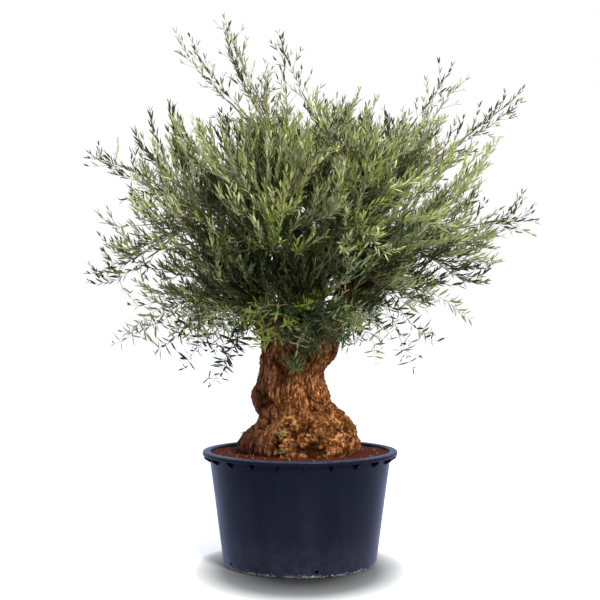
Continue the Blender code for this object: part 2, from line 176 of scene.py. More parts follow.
def remap(value, *ends):
    """Carries a value from one range to another, and holds it at both ends."""
    return put(value.id_data, "ShaderNodeMapRange", value, *ends).outputs["Result"]


def ramp(value, *stops):
    """A colour ramp read at the value. A stop is a position with a colour or a single number."""
    made = put(value.id_data, "ShaderNodeValToRGB", value)
    for number, (position, _) in enumerate(stops):
        if number > 1:
            made.color_ramp.elements.new(position)
    for element, (position, colour) in zip(made.color_ramp.elements, stops):
        element.position = position
        element.color = (*colour, 1) if isinstance(colour, tuple) else (colour, colour, colour, 1)
    return made.outputs["Color"]


def blend(share, first, second, way="MIX"):
    """Mixes two colours. Either may be an output or a plain colour."""
    made = put(tree_of(share, first, second), "ShaderNodeMix", data_type="RGBA", blend_type=way)
    for number, value in ((0, share), (6, first), (7, second)):
        give(made.inputs[number], value)
    return made.outputs[2]


def bumps(strength, depth, height):
    """Fine relief that is only seen in the shading."""
    made = put(height.id_data, "ShaderNodeBump", strength, depth)
    give_all(made, {"Height": height})
    return made.outputs["Normal"]


def new_finish(name):
    """A new material, its node tree and its main shader."""
    made = bpy.data.materials.new(name)
    made.use_nodes = True
    return made, made.node_tree, made.node_tree.nodes["Principled BSDF"]


# %% [markdown]
# ## Stage
# A pale floor runs far back and meets a white surround, so no horizon shows. Round the pot's foot
# the floor's colour is darkened in a soft oval, a painted shadow, because a studio floor is dark
# where a wide pot shades it.
# The surround is dimmer behind the camera: a dark glossy pot then keeps a deep front and catches
# light on both flanks. Surfaces that mirror floor or surround see them tinted blue, as black
# plastic shows a white room; the floor's blue is a painted reflection, a colour it has only in
# reflections. Three round soft lights do the rest, the main one high on the right.

# %% Stage
FLOOR_HALF = 30.0
corners = [(x * FLOOR_HALF, y * FLOOR_HALF, 0) for x, y in ((-1, -1), (1, -1), (1, 1), (-1, 1))]
stage_floor = add_object("stage_floor", mesh_from("stage_floor", corners, [(0, 1, 2, 3)]))

# painted shadow: the floor's colour darkens in a soft oval round the pot's foot
SHADE_CENTRE = (0, -0.20, 0)
SHADE_STRETCH = (1.72, 1.25, 0)
SHADE_STOPS = ((0.20, 0.012), (0.33, 0.018), (0.53, 0.070), (0.64, 0.105), (0.70, 0.17),
               (0.76, 0.25), (0.82, 0.33), (0.87, 0.40), (0.92, 0.51), (0.96, 0.68), (1.0, 0.90))
FLOOR_PAINTED_REFLECTION = (0.60, 0.67, 1.0)
floor_finish, tree, shader = new_finish("floor_white")
place = place_in(tree)
from_pot = arrows("MULTIPLY", arrows("SUBTRACT", place, SHADE_CENTRE), SHADE_STRETCH)
tone = ramp(arrows("LENGTH", from_pot), *SHADE_STOPS)
cloud = remap(noise_in(place, 0.6, 2.0), 0.3, 0.7, 0.96, 1.04)
# painted reflection: seen by glossy rays, the floor is blue
glossy = put(tree, "ShaderNodeLightPath").outputs["Is Glossy Ray"]
give_all(shader, {
    "Base Color": blend(glossy, arrows("SCALE", tone, cloud), FLOOR_PAINTED_REFLECTION),
    "Roughness": 0.9, "Specular IOR Level": 0.1})
stage_floor.data.materials.append(floor_finish)

SKY_BEHIND = (1.0, 1.0, 0.97)
SKY_AHEAD = (0.82, 0.88, 1.0)
SKY_MIRRORED = (0.58, 0.66, 1.0)
world = bpy.data.worlds.new("surround")
world.use_nodes = True
bpy.context.scene.world = world
sky = world.node_tree
way = put(sky, "ShaderNodeSeparateXYZ", put(sky, "ShaderNodeTexCoord").outputs["Generated"]).outputs
rays = put(sky, "ShaderNodeLightPath").outputs
glow = sums("ADD", remap(way["Y"], -0.2, 0.7, 0.10, 0.80),
            remap(way["Z"], 0.10, 0.9, 0.0, 1.35))
hue = blend(remap(way["Y"], -0.2, 0.7, 0.0, 1.0), SKY_BEHIND, SKY_AHEAD)
hue = blend(rays["Is Camera Ray"], hue, (1.0, 1.0, 1.0))
hue = blend(rays["Is Glossy Ray"], hue, SKY_MIRRORED)
give_all(sky.nodes["Background"], {
    "Color": hue, "Strength": sums("MAXIMUM", glow, rays["Is Camera Ray"])})

for name, place, towards, size, watts in (
        ("key_right", (2.3, -5.3, 4.1), (0, 0, 1.5), 2.0, 930),
        ("top_soft", (0.3, -1.6, 5.2), (0, 0, 1.8), 2.4, 120),
        ("fill_left", (-3.6, -3.2, 4.2), (0, 0, 1.6), 2.0, 120)):
    light = bpy.data.lights.new(name, "AREA")
    light.shape = "DISK"
    light.size = size
    light.energy = watts
    lamp = add_object(name, light)
    lamp.location = place
    lamp.rotation_euler = (Vector(towards) - Vector(place)).to_track_quat("-Z", "Y").to_euler()
bpy.context.scene.view_settings.view_transform = "Standard"
print("stage:", len(bpy.data.lights), "lights")

# %% [markdown]
# ## The pot
# A nursery pot is one thin moulded wall: a flat foot, a slightly flared side, and a flat rim that
# turns down at its edge. Such a shape is a profile turned about an axis. The corners are rounded
# with small arcs first, because a moulded edge always catches a line of light.

# %% Profile of the pot
POT_LOW, POT_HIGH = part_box("pot")
RIM_RADIUS = (POT_HIGH.x - POT_LOW.x) / 2
POT_TOP = POT_HIGH.z
NECK_RADIUS = 0.468
FOOT_RADIUS = 0.392
WALL = 0.006
LIP_DROP = 0.022
TURN_STEPS = 224


def wall_radius(height):
    return FOOT_RADIUS + (NECK_RADIUS - FOOT_RADIUS) * height / POT_TOP


def rounded(corners, steps=4):
    """A polyline (x, z, rounding radius) with each corner replaced by an arc."""
    line = [Vector(corners[0][:2])]
    for before, here, after in zip(corners, corners[1:], corners[2:]):
        corner, radius = Vector(here[:2]), here[2]
        if radius == 0:
            line.append(corner)
            continue
        into = (Vector(before[:2]) - corner).normalized()
        onward = (Vector(after[:2]) - corner).normalized()
        half = into.angle(onward) / 2
        reach = radius / math.tan(half)
        centre = corner + (into + onward).normalized() * (radius / math.sin(half))
        start = corner + into * reach - centre
        sweep = math.pi - 2 * half
        if start.cross(corner + onward * reach - centre) < 0:
            sweep = -sweep
        for step in range(steps + 1):
            turn = Matrix.Rotation(sweep * step / steps, 2)
            line.append(centre + turn @ start)
    line.append(Vector(corners[-1][:2]))
    return line


def turned(name, line, steps):
    """Turns a profile that starts and ends on the axis into a closed mesh."""
    ring = line[1:-1]
    points = [(0, 0, line[0].y)]
    for step in range(steps):
        angle = 2 * math.pi * step / steps
        points += [(p.x * math.cos(angle), p.x * math.sin(angle), p.y) for p in ring]
    points.append((0, 0, line[-1].y))
    last, count, faces = len(points) - 1, len(ring), []
    for step in range(steps):
        here, there = 1 + step * count, 1 + (step + 1) % steps * count
        faces.append((0, there, here))
        faces += [(here + i, there + i, there + i + 1, here + i + 1) for i in range(count - 1)]
        faces.append((here + count - 1, there + count - 1, last))
    mesh = mesh_from(name, points, faces)
    mesh.validate()
    return mesh


inner_floor = WALL + 0.006
pot_corners = [
    (0.0, 0.005, 0), (FOOT_RADIUS - 0.050, 0.005, 0.003), (FOOT_RADIUS - 0.042, 0.0, 0.003),
    (FOOT_RADIUS, 0.0, 0.016),
    (wall_radius(0.200), 0.200, 0), (wall_radius(0.380), 0.380, 0),
    (NECK_RADIUS, POT_TOP - WALL, 0.003), (RIM_RADIUS - WALL, POT_TOP - WALL, 0.003),
    (RIM_RADIUS - WALL + 0.001, POT_TOP - LIP_DROP, 0.0015), (RIM_RADIUS, POT_TOP - LIP_DROP, 0.004),
    (RIM_RADIUS, POT_TOP, 0.009), (NECK_RADIUS - 0.008, POT_TOP, 0.006),
    (wall_radius(0.380) - WALL, 0.380, 0), (wall_radius(inner_floor) - WALL, inner_floor, 0.012),
    (0.0, inner_floor, 0),
]
pot_shell = add_object("pot_shell", turned("pot_shell", rounded(pot_corners), TURN_STEPS))
print("pot shell:", triangles(pot_shell), "triangles, rim radius", round(RIM_RADIUS, 3))

# %% [markdown]
# Five drain holes pierce the wall just above the foot. A Boolean cuts them, with plain cylinders as
# cutters that are removed afterwards. The shell's faces are pointed outward before it is cut.

# %% Drain holes
HOLE_COUNT = 5
HOLE_RADIUS = 0.0085
HOLE_HEIGHT = 0.033
HOLE_FIRST = math.radians(-90 + 11.8)
DRILL_LENGTH = 0.04
SHARP_ANGLE = math.radians(38)


def face_outward(mesh):
    shape = bmesh.new()
    shape.from_mesh(mesh)
    bmesh.ops.remove_doubles(shape, verts=shape.verts, dist=1e-6)
    bmesh.ops.recalc_face_normals(shape, faces=shape.faces)
    shape.to_mesh(mesh)
    shape.free()


face_outward(pot_shell.data)
drills = bmesh.new()
for hole in range(HOLE_COUNT):
    bearing = HOLE_FIRST + 2 * math.pi * hole / HOLE_COUNT
    along = Vector((math.cos(bearing), math.sin(bearing), 0))
    place = Matrix.Translation(along * wall_radius(HOLE_HEIGHT) + Vector((0, 0, HOLE_HEIGHT)))
    bmesh.ops.create_cone(
        drills, cap_ends=True, segments=20, radius1=HOLE_RADIUS, radius2=HOLE_RADIUS,
        depth=DRILL_LENGTH, matrix=place @ along.to_track_quat("Z", "Y").to_matrix().to_4x4())
drill_object = add_object("drills", mesh_of("drills", drills))


def settled(obj):
    """Keeps what the object's modifiers make as its plain mesh."""
    graph = bpy.context.evaluated_depsgraph_get()
    obj.data = bpy.data.meshes.new_from_object(obj.evaluated_get(graph), depsgraph=graph)
    obj.modifiers.clear()


drilling = pot_shell.modifiers.new("drilling", "BOOLEAN")
drilling.object = drill_object
drilling.operation = "DIFFERENCE"
drilling.solver = "EXACT"
settled(pot_shell)
bpy.data.objects.remove(drill_object)
pot_shell.data.shade_smooth()
pot_shell.data.set_sharp_from_angle(angle=SHARP_ANGLE)
print("drilled pot:", triangles(pot_shell), "triangles")

# %% [markdown]
# Under the rim a row of small webs stiffens it. They are one shape repeated round a circle, which is
# work for Geometry Nodes: points in a ring, the web on each point, turned to face outward. Three
# helpers serve every such tree: `new_tree` starts it, `end_tree` ends it, and `grown` runs it on an
# object and keeps the result as a plain mesh.


# %% Tools for Geometry Nodes
def new_tree(name, inputs):
    """A Geometry Nodes tree, its input and output nodes, and one named input for each size."""
    tree = bpy.data.node_groups.new(name, "GeometryNodeTree")
    tree.interface.new_socket("Geometry", in_out="INPUT", socket_type="NodeSocketGeometry")
    for label, kind in inputs.items():
        tree.interface.new_socket(label, in_out="INPUT", socket_type="NodeSocket" + kind)
    tree.interface.new_socket("Geometry", in_out="OUTPUT", socket_type="NodeSocketGeometry")
    return tree, tree.nodes.new("NodeGroupInput").outputs, tree.nodes.new("NodeGroupOutput").inputs


def end_tree(tree, copies, finish, output):
    """Makes the copies real, gives them their finish and sends them out of the tree."""
    real = put(tree, "GeometryNodeRealizeInstances", copies)
    painted = put(tree, "GeometryNodeSetMaterial", real.outputs[0], None, finish)
    tree.links.new(painted.outputs[0], output)


def grown(name, source, tree, values):
    """Runs a tree on a source object, and keeps what it makes as a new plain object."""
    modifier = source.modifiers.new(name, "NODES")
    modifier.node_group = tree
    for item in tree.interface.items_tree:
        if item.in_out == "INPUT" and item.name in values:
            modifier[item.identifier] = values[item.name]
    graph = bpy.context.evaluated_depsgraph_get()
    mesh = bpy.data.meshes.new_from_object(source.evaluated_get(graph), depsgraph=graph)
    mesh.name = name
    source.modifiers.remove(modifier)
    return add_object(name, mesh)


def put_away(*objects):
    """Removes the helper objects that a finished piece no longer needs."""
    for obj in objects:
        bpy.data.objects.remove(obj)


# %% Webs under the rim
WEB_COUNT = 22
WEB_DEPTH = 0.048
WEB_WIDTH = 0.007
WEB_FIRST = math.radians(-90 + 2.6)

web_top = POT_TOP - WALL
web_out = RIM_RADIUS - WALL + 0.001
web_low = web_top - WEB_DEPTH
web_side = [
    (wall_radius(web_top) - 0.002, web_top), (web_out, web_top), (web_out, web_top - 0.027),
    (web_out - 0.007, web_top - 0.034), (wall_radius(web_low) + 0.004, web_low),
    (wall_radius(web_low) - 0.002, web_low),
]
web_points = [(x, side * WEB_WIDTH / 2, z) for side in (-1, 1) for x, z in web_side]
web_span = len(web_side)
web_faces = [tuple(range(web_span)), tuple(range(2 * web_span - 1, web_span - 1, -1))]
web_faces += [(i, i + web_span, (i + 1) % web_span + web_span, (i + 1) % web_span)
              for i in range(web_span)]
web = add_object("web", mesh_from("web", web_points, web_faces))
face_outward(web.data)
web_edge = web.modifiers.new("edge", "BEVEL")
web_edge.width = 0.0008
web_edge.segments = 2
settled(web)

ring_tree, ring_in, ring_out = new_tree(
    "ring of webs", {"Count": "Int", "First": "Float", "Finish": "Material"})
ring_points = put(ring_tree, "GeometryNodePoints", ring_in["Count"])
ring_step = sums("DIVIDE", 2 * math.pi, ring_in["Count"])
ring_index = put(ring_tree, "GeometryNodeInputIndex").outputs["Index"]
ring_angle = sums("MULTIPLY_ADD", ring_index, ring_step, ring_in["First"])
ring_euler = put(ring_tree, "ShaderNodeCombineXYZ", 0.0, 0.0, ring_angle).outputs["Vector"]
ring_turn = put(ring_tree, "FunctionNodeEulerToRotation", ring_euler).outputs["Rotation"]
ring_copies = put(ring_tree, "GeometryNodeInstanceOnPoints", ring_points.outputs[0], None,
                  ring_in["Geometry"], None, None, ring_turn)
end_tree(ring_tree, ring_copies.outputs[0], ring_in["Finish"], ring_out["Geometry"])

# %% [markdown]
# ## Black plastic
# The pot is a satin plastic, nearly black with a touch of blue. It is dull with handling, has faint
# upright flow marks from the mould, dust on its upper edge that is also a painted highlight, a
# painted glow of the pale floor that lightens the wall toward the foot, and pale scuffs along the
# foot itself.

# %% The plastic
PLASTIC_DARK = (0.0013, 0.0016, 0.0032)
PLASTIC_LIGHT = (0.0028, 0.0032, 0.0066)
# bluish grey for the rim's dust with its painted highlight, and for the painted glow low on the wall
DUST_AND_PAINTED_LIGHT = (0.060, 0.063, 0.098)
SCUFF = (0.42, 0.42, 0.41)
plastic, paint, shader = new_finish("black_plastic")
place = place_in(paint)
height = put(paint, "ShaderNodeSeparateXYZ", place).outputs["Z"]
flow = noise_in(arrows("MULTIPLY", place, (9.0, 9.0, 0.7)), 1.0, 4.0, 0.55)
grit = noise_in(place, 130.0, 6.0, 0.7)
low_edge = remap(height, 0.002, 0.034, 1.0, 0.0)
scuff_need = sums("MULTIPLY", low_edge, noise_in(place, 11.0, 3.0, 0.6))
scuff_sum = sums("ADD", sums("MULTIPLY", scuff_need, 0.62), grit)
scuff = remap(scuff_sum, 0.73, 0.82, 0.0, 0.85)
# dust on the rim's top, also a painted highlight on the lip
rim_dust_and_highlight = remap(height, POT_TOP - 0.010, POT_TOP, 0.0, 0.8)
# painted glow: the wall is lightened toward the foot, as if lit by the pale floor
painted_floor_glow = ramp(height, (0.03, 0.70), (0.20, 0.16), (0.48, 0.0))
dust_and_painted_light = sums("ADD", rim_dust_and_highlight, sums("MULTIPLY", painted_floor_glow, flow))
dust_and_painted_light = sums("MULTIPLY", dust_and_painted_light, noise_in(place, 26.0, 5.0, 0.65))
coat = blend(dust_and_painted_light, ramp(flow, (0.3, PLASTIC_DARK), (0.75, PLASTIC_LIGHT)), DUST_AND_PAINTED_LIGHT)
satin = remap(noise_in(place, 7.0, 5.0, 0.6), 0.3, 0.7, 0.26, 0.36)
give_all(shader, {
    "Base Color": blend(scuff, coat, SCUFF),
    "Roughness": sums("ADD", satin, sums("MULTIPLY", scuff, 0.4)),
    "Normal": bumps(0.12, 0.002, grit),
    "Specular IOR Level": 0.050, "Specular Tint": (0.75, 0.80, 1.0),
    "Sheen Weight": 0.06, "Sheen Tint": (0.28, 0.38, 1.0), "Sheen Roughness": 0.20})

pot_shell.data.materials.append(plastic)
webs = grown("pot_webs", web, ring_tree,
             {"Count": WEB_COUNT, "First": WEB_FIRST, "Finish": plastic})
put_away(web)
print("webs:", triangles(webs), "triangles")
for piece in (pot_shell, webs):
    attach(piece, "root")
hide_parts("pot")

# %% [markdown]
# ## Soil
# The soil is reddish, crumbly and nearly level with the rim. Its body is a disc of fine rings whose
# points are lifted by noise, closed below so that it is a solid. The noise comes in three sizes:
# slow swells, clods, and grain.

# %% Body of the soil
SOIL_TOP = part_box("soil")[1].z
SOIL_DEPTH = 0.06
SOIL_RINGS = 70
SOIL_STEPS = 260
SOIL_INSET = WALL + 0.001
SOIL_DIP = 0.005
NOISE_ROUGHNESS = 0.55
# height, size, octaves and offset of each noise
SOIL_LUMPS = [(0.0050, 0.16, 2, 0.0), (0.0035, 0.035, 3, 5.0), (0.0012, 0.009, 2, 9.0)]


def fractal_at(points, size, octaves, offset):
    """Fractal noise, about -1 to 1, at each point. Size is that of its largest lumps."""
    shift = Vector((offset, offset * 1.7, -offset))
    fall = -math.log2(NOISE_ROUGHNESS)
    return np.array([noise.fractal(Vector(p) + shift, fall, 2.0, octaves) for p in points / size])


soil_edge = wall_radius(SOIL_TOP) - SOIL_INSET
soil_flat = [(0.0, 0.0, 0.0)]
for ring in range(1, SOIL_RINGS + 1):
    radius = soil_edge * (ring / SOIL_RINGS) ** 0.8
    for step in range(SOIL_STEPS):
        angle = 2 * math.pi * (step + 0.5 * (ring % 2)) / SOIL_STEPS
        soil_flat.append((radius * math.cos(angle), radius * math.sin(angle), 0.0))
soil_points = np.array(soil_flat)
lift = sum(amount * fractal_at(soil_points, size, octaves, offset)
           for amount, size, octaves, offset in SOIL_LUMPS)
soil_points[:, 2] = SOIL_TOP - SOIL_DIP + lift
low_ring = soil_points[-SOIL_STEPS:].copy()
low_ring[:, 2] = SOIL_TOP - SOIL_DEPTH
low_ring[:, :2] *= (wall_radius(SOIL_TOP - SOIL_DEPTH) - SOIL_INSET) / soil_edge
soil_points = np.vstack([soil_points, low_ring, [[0, 0, SOIL_TOP - SOIL_DEPTH]]])
soil_faces = [(0, 1 + step, 1 + (step + 1) % SOIL_STEPS) for step in range(SOIL_STEPS)]
for ring in range(SOIL_RINGS):
    inner, outer = 1 + ring * SOIL_STEPS, 1 + (ring + 1) * SOIL_STEPS
    for step in range(SOIL_STEPS):
        after = (step + 1) % SOIL_STEPS
        soil_faces.append((inner + step, outer + step, outer + after, inner + after))
bottom = len(soil_points) - 1
below = bottom - SOIL_STEPS
soil_faces += [(bottom, below + (step + 1) % SOIL_STEPS, below + step) for step in range(SOIL_STEPS)]
soil = add_object("soil_body", mesh_from("soil_body", soil_points, soil_faces))
face_outward(soil.data)
soil.data.shade_smooth()
print("soil:", triangles(soil), "triangles")

# %% [markdown]
# Loose crumbs and chips lie on it. A Geometry Nodes tree scatters points over the upward faces and
# puts a lumpy crumb on each, squashed, turned and sized at random from a fixed seed.

# %% Crumbs of soil
CRUMB_SIZE = 0.0042
CRUMBS_PER_SQUARE_METRE = 4200.0


def crumb(name, stretch, seed):
    shape = bmesh.new()
    bmesh.ops.create_icosphere(shape, subdivisions=1, radius=1.0)
    for point in shape.verts:
        point.co *= 1 + 0.35 * noise.noise(point.co * 1.3 + Vector((seed, 0, 0)))
        point.co = Vector(a * b for a, b in zip(point.co, stretch))
    return add_object(name, mesh_of(name, shape))


scatter, scatter_in, scatter_out = new_tree("scattered crumbs", {
    "Crumb": "Object", "Density": "Float", "Smallest": "Float", "Largest": "Float", "Seed": "Int",
    "Finish": "Material"})
face_way = put(scatter, "GeometryNodeInputNormal").outputs["Normal"]
facing_up = sums("GREATER_THAN",
                 put(scatter, "ShaderNodeSeparateXYZ", face_way).outputs["Z"], 0.85)
dots = put(scatter, "GeometryNodeDistributePointsOnFaces", scatter_in["Geometry"], facing_up,
           scatter_in["Density"], scatter_in["Seed"])
spin = put(scatter, "FunctionNodeRandomValue", (0, 0, 0), (6.28, 6.28, 6.28), None,
           scatter_in["Seed"], data_type="FLOAT_VECTOR")
spin_turn = put(scatter, "FunctionNodeEulerToRotation", spin.outputs["Value"])
grain = put(scatter, "FunctionNodeRandomValue", scatter_in["Smallest"], scatter_in["Largest"], None,
            scatter_in["Seed"], data_type="FLOAT")
grain_shape = put(scatter, "GeometryNodeObjectInfo", scatter_in["Crumb"]).outputs["Geometry"]
laid = put(scatter, "GeometryNodeInstanceOnPoints", dots.outputs["Points"], None, grain_shape,
           None, None, spin_turn.outputs[0], grain.outputs[1])
end_tree(scatter, laid.outputs[0], scatter_in["Finish"], scatter_out["Geometry"])


def earth(name, dark, light, size):
    """A rough, crumbly finish between two colours."""
    made, tree, shader = new_finish(name)
    clods = noise_in(place_in(tree), 1 / size, 8.0, 0.68)
    give_all(shader, {
        "Base Color": ramp(clods, (0.34, dark), (0.68, light)),
        "Roughness": remap(clods, 0.3, 0.7, 0.95, 0.75),
        "Normal": bumps(0.6, 0.004, clods), "Specular IOR Level": 0.05})
    return made


red_earth = earth("red_earth", (0.010, 0.0018, 0.0006), (0.080, 0.0165, 0.0070), 0.035)
crumb_earth = earth("crumb_earth", (0.026, 0.0055, 0.0028), (0.105, 0.025, 0.011), 0.012)
chip_wood = earth("chip_wood", (0.11, 0.060, 0.034), (0.34, 0.21, 0.12), 0.015)
soil.data.materials.append(red_earth)
round_crumb = crumb("round_crumb", (1.0, 0.85, 0.7), 1)
long_chip = crumb("long_chip", (2.6, 0.7, 0.35), 4)
crumbs = grown("soil_crumbs", soil, scatter, {
    "Crumb": round_crumb, "Density": CRUMBS_PER_SQUARE_METRE, "Smallest": 0.25 * CRUMB_SIZE,
    "Largest": CRUMB_SIZE, "Seed": SEED, "Finish": crumb_earth})
chips = grown("soil_chips", soil, scatter, {
    "Crumb": long_chip, "Density": 0.045 * CRUMBS_PER_SQUARE_METRE, "Smallest": 0.5 * CRUMB_SIZE,
    "Largest": 1.1 * CRUMB_SIZE, "Seed": SEED + 1, "Finish": chip_wood})
put_away(round_crumb, long_chip)
for piece in (soil, crumbs, chips):
    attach(piece, "root")
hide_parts("soil")
print("crumbs:", triangles(crumbs), "chips:", triangles(chips), "triangles")

# %% [markdown]
# ## Bark
# An old olive's trunk is one muscular mass: ropes of wood run up from the roots and twist into the
# boughs, and round burls swell out of the foot like a cauliflower. The measured solids give its true
# outline. Here trunk and boughs are melted into one skin by a voxel remesh, so the boughs grow out
# of the head without a seam, and then the skin's points are pushed in and out by noise.

# %% One skin for trunk and boughs
SKIN_VOXEL = 0.0062
FOOT_SINK = 0.018
bough_names = sorted(name for name in cad if name.startswith("bough_"))
rough_skin = bmesh.new()
for name in ["trunk"] + bough_names:
    rough_skin.from_mesh(cad[name].data)
bmesh.ops.remove_doubles(rough_skin, verts=rough_skin.verts, dist=1e-5)
TRUNK_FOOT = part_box("trunk")[0].z
for point in rough_skin.verts:
    if point.co.z < TRUNK_FOOT + 0.002:
        point.co.z -= FOOT_SINK
bark = add_object("bark", mesh_of("bark", rough_skin))
melt = bark.modifiers.new("melt", "REMESH")
melt.mode = "VOXEL"
melt.voxel_size = SKIN_VOXEL
relax = bark.modifiers.new("relax", "SMOOTH")
relax.factor = 0.5
relax.iterations = 14
settled(bark)
print("smooth skin:", len(bark.data.vertices), "points,", triangles(bark), "triangles")

# %% [markdown]
# The grain of the wood runs up the trunk with a slow twist, and along each bough. Noise that is
# sampled round the limb closely and along it loosely gives long fibres. Taking the size of the noise
# without its sign turns it into round ropes with sharp creases between them, which is how olive
# wood looks. Points on boughs are measured from the bough's own middle line.

# %% Grain of the limbs
TRUNK_TWIST = 0.9
ROPE_STRETCH = 0.17
HEAD_LOW = 1.13
HEAD_HIGH = 1.27


def read_points(mesh, what="vertices", field="co"):
    found = np.zeros(len(getattr(mesh, what)) * 3, np.float32)
    getattr(mesh, what).foreach_get(field, found)
    return found.reshape(-1, 3).astype(float)


def ease(value, low, high):
    share = np.clip((value - low) / (high - low), 0, 1)
    return share * share * (3 - 2 * share)


def middle_line(name):
    """Start and end of a bough's middle line, from the spread of its points."""
    cloud = read_points(cad[name].data)
    centre = cloud.mean(0)
    way = np.linalg.svd(cloud - centre, full_matrices=False)[2][0]
    way = way * np.sign(way @ (centre - np.array([0, 0, HEAD_LOW])))
    reach = (cloud - centre) @ way
    tip = cloud[reach > np.quantile(reach, 0.9)].mean(0)
    root = cloud[reach < np.quantile(reach, 0.1)].mean(0)
    return root, tip


bough_lines = {name: middle_line(name) for name in bough_names}
skin = read_points(bark.data)
outward = read_points(bark.data, "vertex_normals", "vector")
bearing = np.arctan2(skin[:, 1], skin[:, 0] + 0.01)
warp = 0.5 * fractal_at(skin, 0.22, 2, 3.0)
turn = bearing + TRUNK_TWIST * (skin[:, 2] - TRUNK_FOOT) + warp
trunk_grain = np.column_stack(
    [0.2 * np.cos(turn), 0.2 * np.sin(turn), ROPE_STRETCH * skin[:, 2]])

nearest = np.full(len(skin), np.inf)
bough_grain = np.zeros_like(skin)
for number, name in enumerate(bough_names):
    root, tip = bough_lines[name]
    way = (tip - root) / np.linalg.norm(tip - root)
    along = (skin - root) @ way
    aside = skin - root - along[:, None] * way
    away = np.linalg.norm(aside, axis=1)
    grain_here = aside / np.maximum(away, 1e-6)[:, None] * 0.05 + along[:, None] * way * 0.22
    closer = away < nearest
    nearest[closer] = away[closer]
    bough_grain[closer] = grain_here[closer] + 3.0 * number
on_bough = ease(skin[:, 2], HEAD_LOW, HEAD_HIGH)
print("grain set on", len(skin), "points,", int((on_bough > 0.5).sum()), "of them on boughs")

# %% [markdown]
# Burls are round swellings packed together. The distance to the nearest of many scattered points
# gives domes that meet in creases. They crowd the lower right of the foot, show again behind, and
# thin out upward. Five real hollows are pressed in as well: the cleft between the front lobes, the
# slit beside the old wound on the left, and three at the sides and the back.

# %% Burls, ropes and hollows
# size of the lumps, and how far they rise
ROPE_HEIGHTS = {0.062: 0.020, 0.028: 0.011, 0.013: 0.0055}
BURL_HEIGHTS = {0.085: 0.030, 0.038: 0.017, 0.019: 0.0085}
BOUGH_HEIGHTS = {0.050: 0.0050, 0.020: 0.0028}
BURLED_SIDE = math.radians(-38)
BURLED_BACK = math.radians(118)
HOLLOWS = [
    # bearing in degrees, half-width, lowest and highest point, depth
    (-109, 0.024, 0.53, 0.72, 0.050),
    (-152, 0.022, 0.78, 0.92, 0.034),
    (38, 0.024, 0.54, 0.76, 0.036),
    (150, 0.022, 0.54, 0.74, 0.032),
    (96, 0.022, 0.68, 1.00, 0.028),
]


def ropes(grain, heights, offset):
    """Rounded ridges with sharp creases: how far they stand out, and how deep each point lies."""
    height, crease = np.zeros(len(grain)), np.zeros(len(grain))
    for number, (size, amount) in enumerate(heights.items()):
        swell = np.clip(np.abs(fractal_at(grain, size, 2, offset + 7 * number)) * 2.4, 0, 1)
        height += amount * (np.sqrt(swell) - 0.6)
        crease = np.maximum(crease, (1 - np.sqrt(swell)) * (1.0 - 0.22 * number))
    return height, crease


def burls(points, heights):
    height, crease = np.zeros(len(points)), np.zeros(len(points))
    for number, (size, amount) in enumerate(heights.items()):
        bent = points + size * 0.35 * fractal_at(points, size * 1.5, 2, 4.0 + number)[:, None]
        gap = np.array([noise.voronoi(Vector(p))[0][0] for p in bent / size])
        dome = np.sqrt(np.clip(1 - (gap / 0.80) ** 2, 0, 1))
        height += amount * (dome - 0.62)
        crease = np.maximum(crease, (1 - dome) * (1.0 - 0.15 * number))
    return height, crease


trunk_height, trunk_crease = ropes(trunk_grain, ROPE_HEIGHTS, 1.0)
limb_height, limb_crease = ropes(bough_grain, BOUGH_HEIGHTS, 2.0)
burl_height, burl_crease = burls(skin, BURL_HEIGHTS)
on_right = ease(np.cos(bearing - BURLED_SIDE), -0.15, 0.55)
on_back = 0.8 * ease(np.cos(bearing - BURLED_BACK), 0.55, 0.9)
patchy = fractal_at(skin, 0.16, 2, 11.0)
burl_share = np.clip(np.maximum(on_right, on_back) * (1 - ease(skin[:, 2], 0.70, 0.90)) * 1.25
                     + 1.2 * (patchy - 0.12) * (1 - ease(skin[:, 2], 0.8, 1.1)), 0, 1)
height = trunk_height * (1 - burl_share) + burl_height * burl_share
crease = trunk_crease * (1 - burl_share) + burl_crease * burl_share
height = height * (1 - on_bough) + limb_height * on_bough
crease = crease * (1 - on_bough) + limb_crease * on_bough
height += 0.0042 * fractal_at(skin, 0.016, 3, 6.0) * (1 - 0.5 * on_bough)
wander = 0.35 * fractal_at(skin, 0.07, 3, 15.0)
for degrees, half_width, low, high, depth in HOLLOWS:
    apart = np.angle(np.exp(1j * (bearing + wander - math.radians(degrees))))
    beside = np.hypot(skin[:, 0], skin[:, 1]) * np.abs(apart) / half_width
    upright = np.abs(skin[:, 2] - (low + high) / 2) / ((high - low) / 2)
    pit = np.exp(-beside ** 2) * (1 - ease(upright, 0.4, 1.1)) * (1 - on_bough)
    pit *= np.clip(0.75 + 1.2 * patchy, 0.2, 1)
    height -= depth * pit
    crease = np.maximum(crease, pit)
height *= ease(skin[:, 2], TRUNK_FOOT - 0.012, TRUNK_FOOT + 0.02)
relief = skin + outward * height[:, None]
bark.data.vertices.foreach_set("co", relief.ravel())
keep_values(bark.data, "POINT", {"crease": crease, "burl": burl_share})
bark.data.update()
bark.data.shade_smooth()
print("relief from", round(height.min(), 3), "to", round(height.max(), 3), "m")
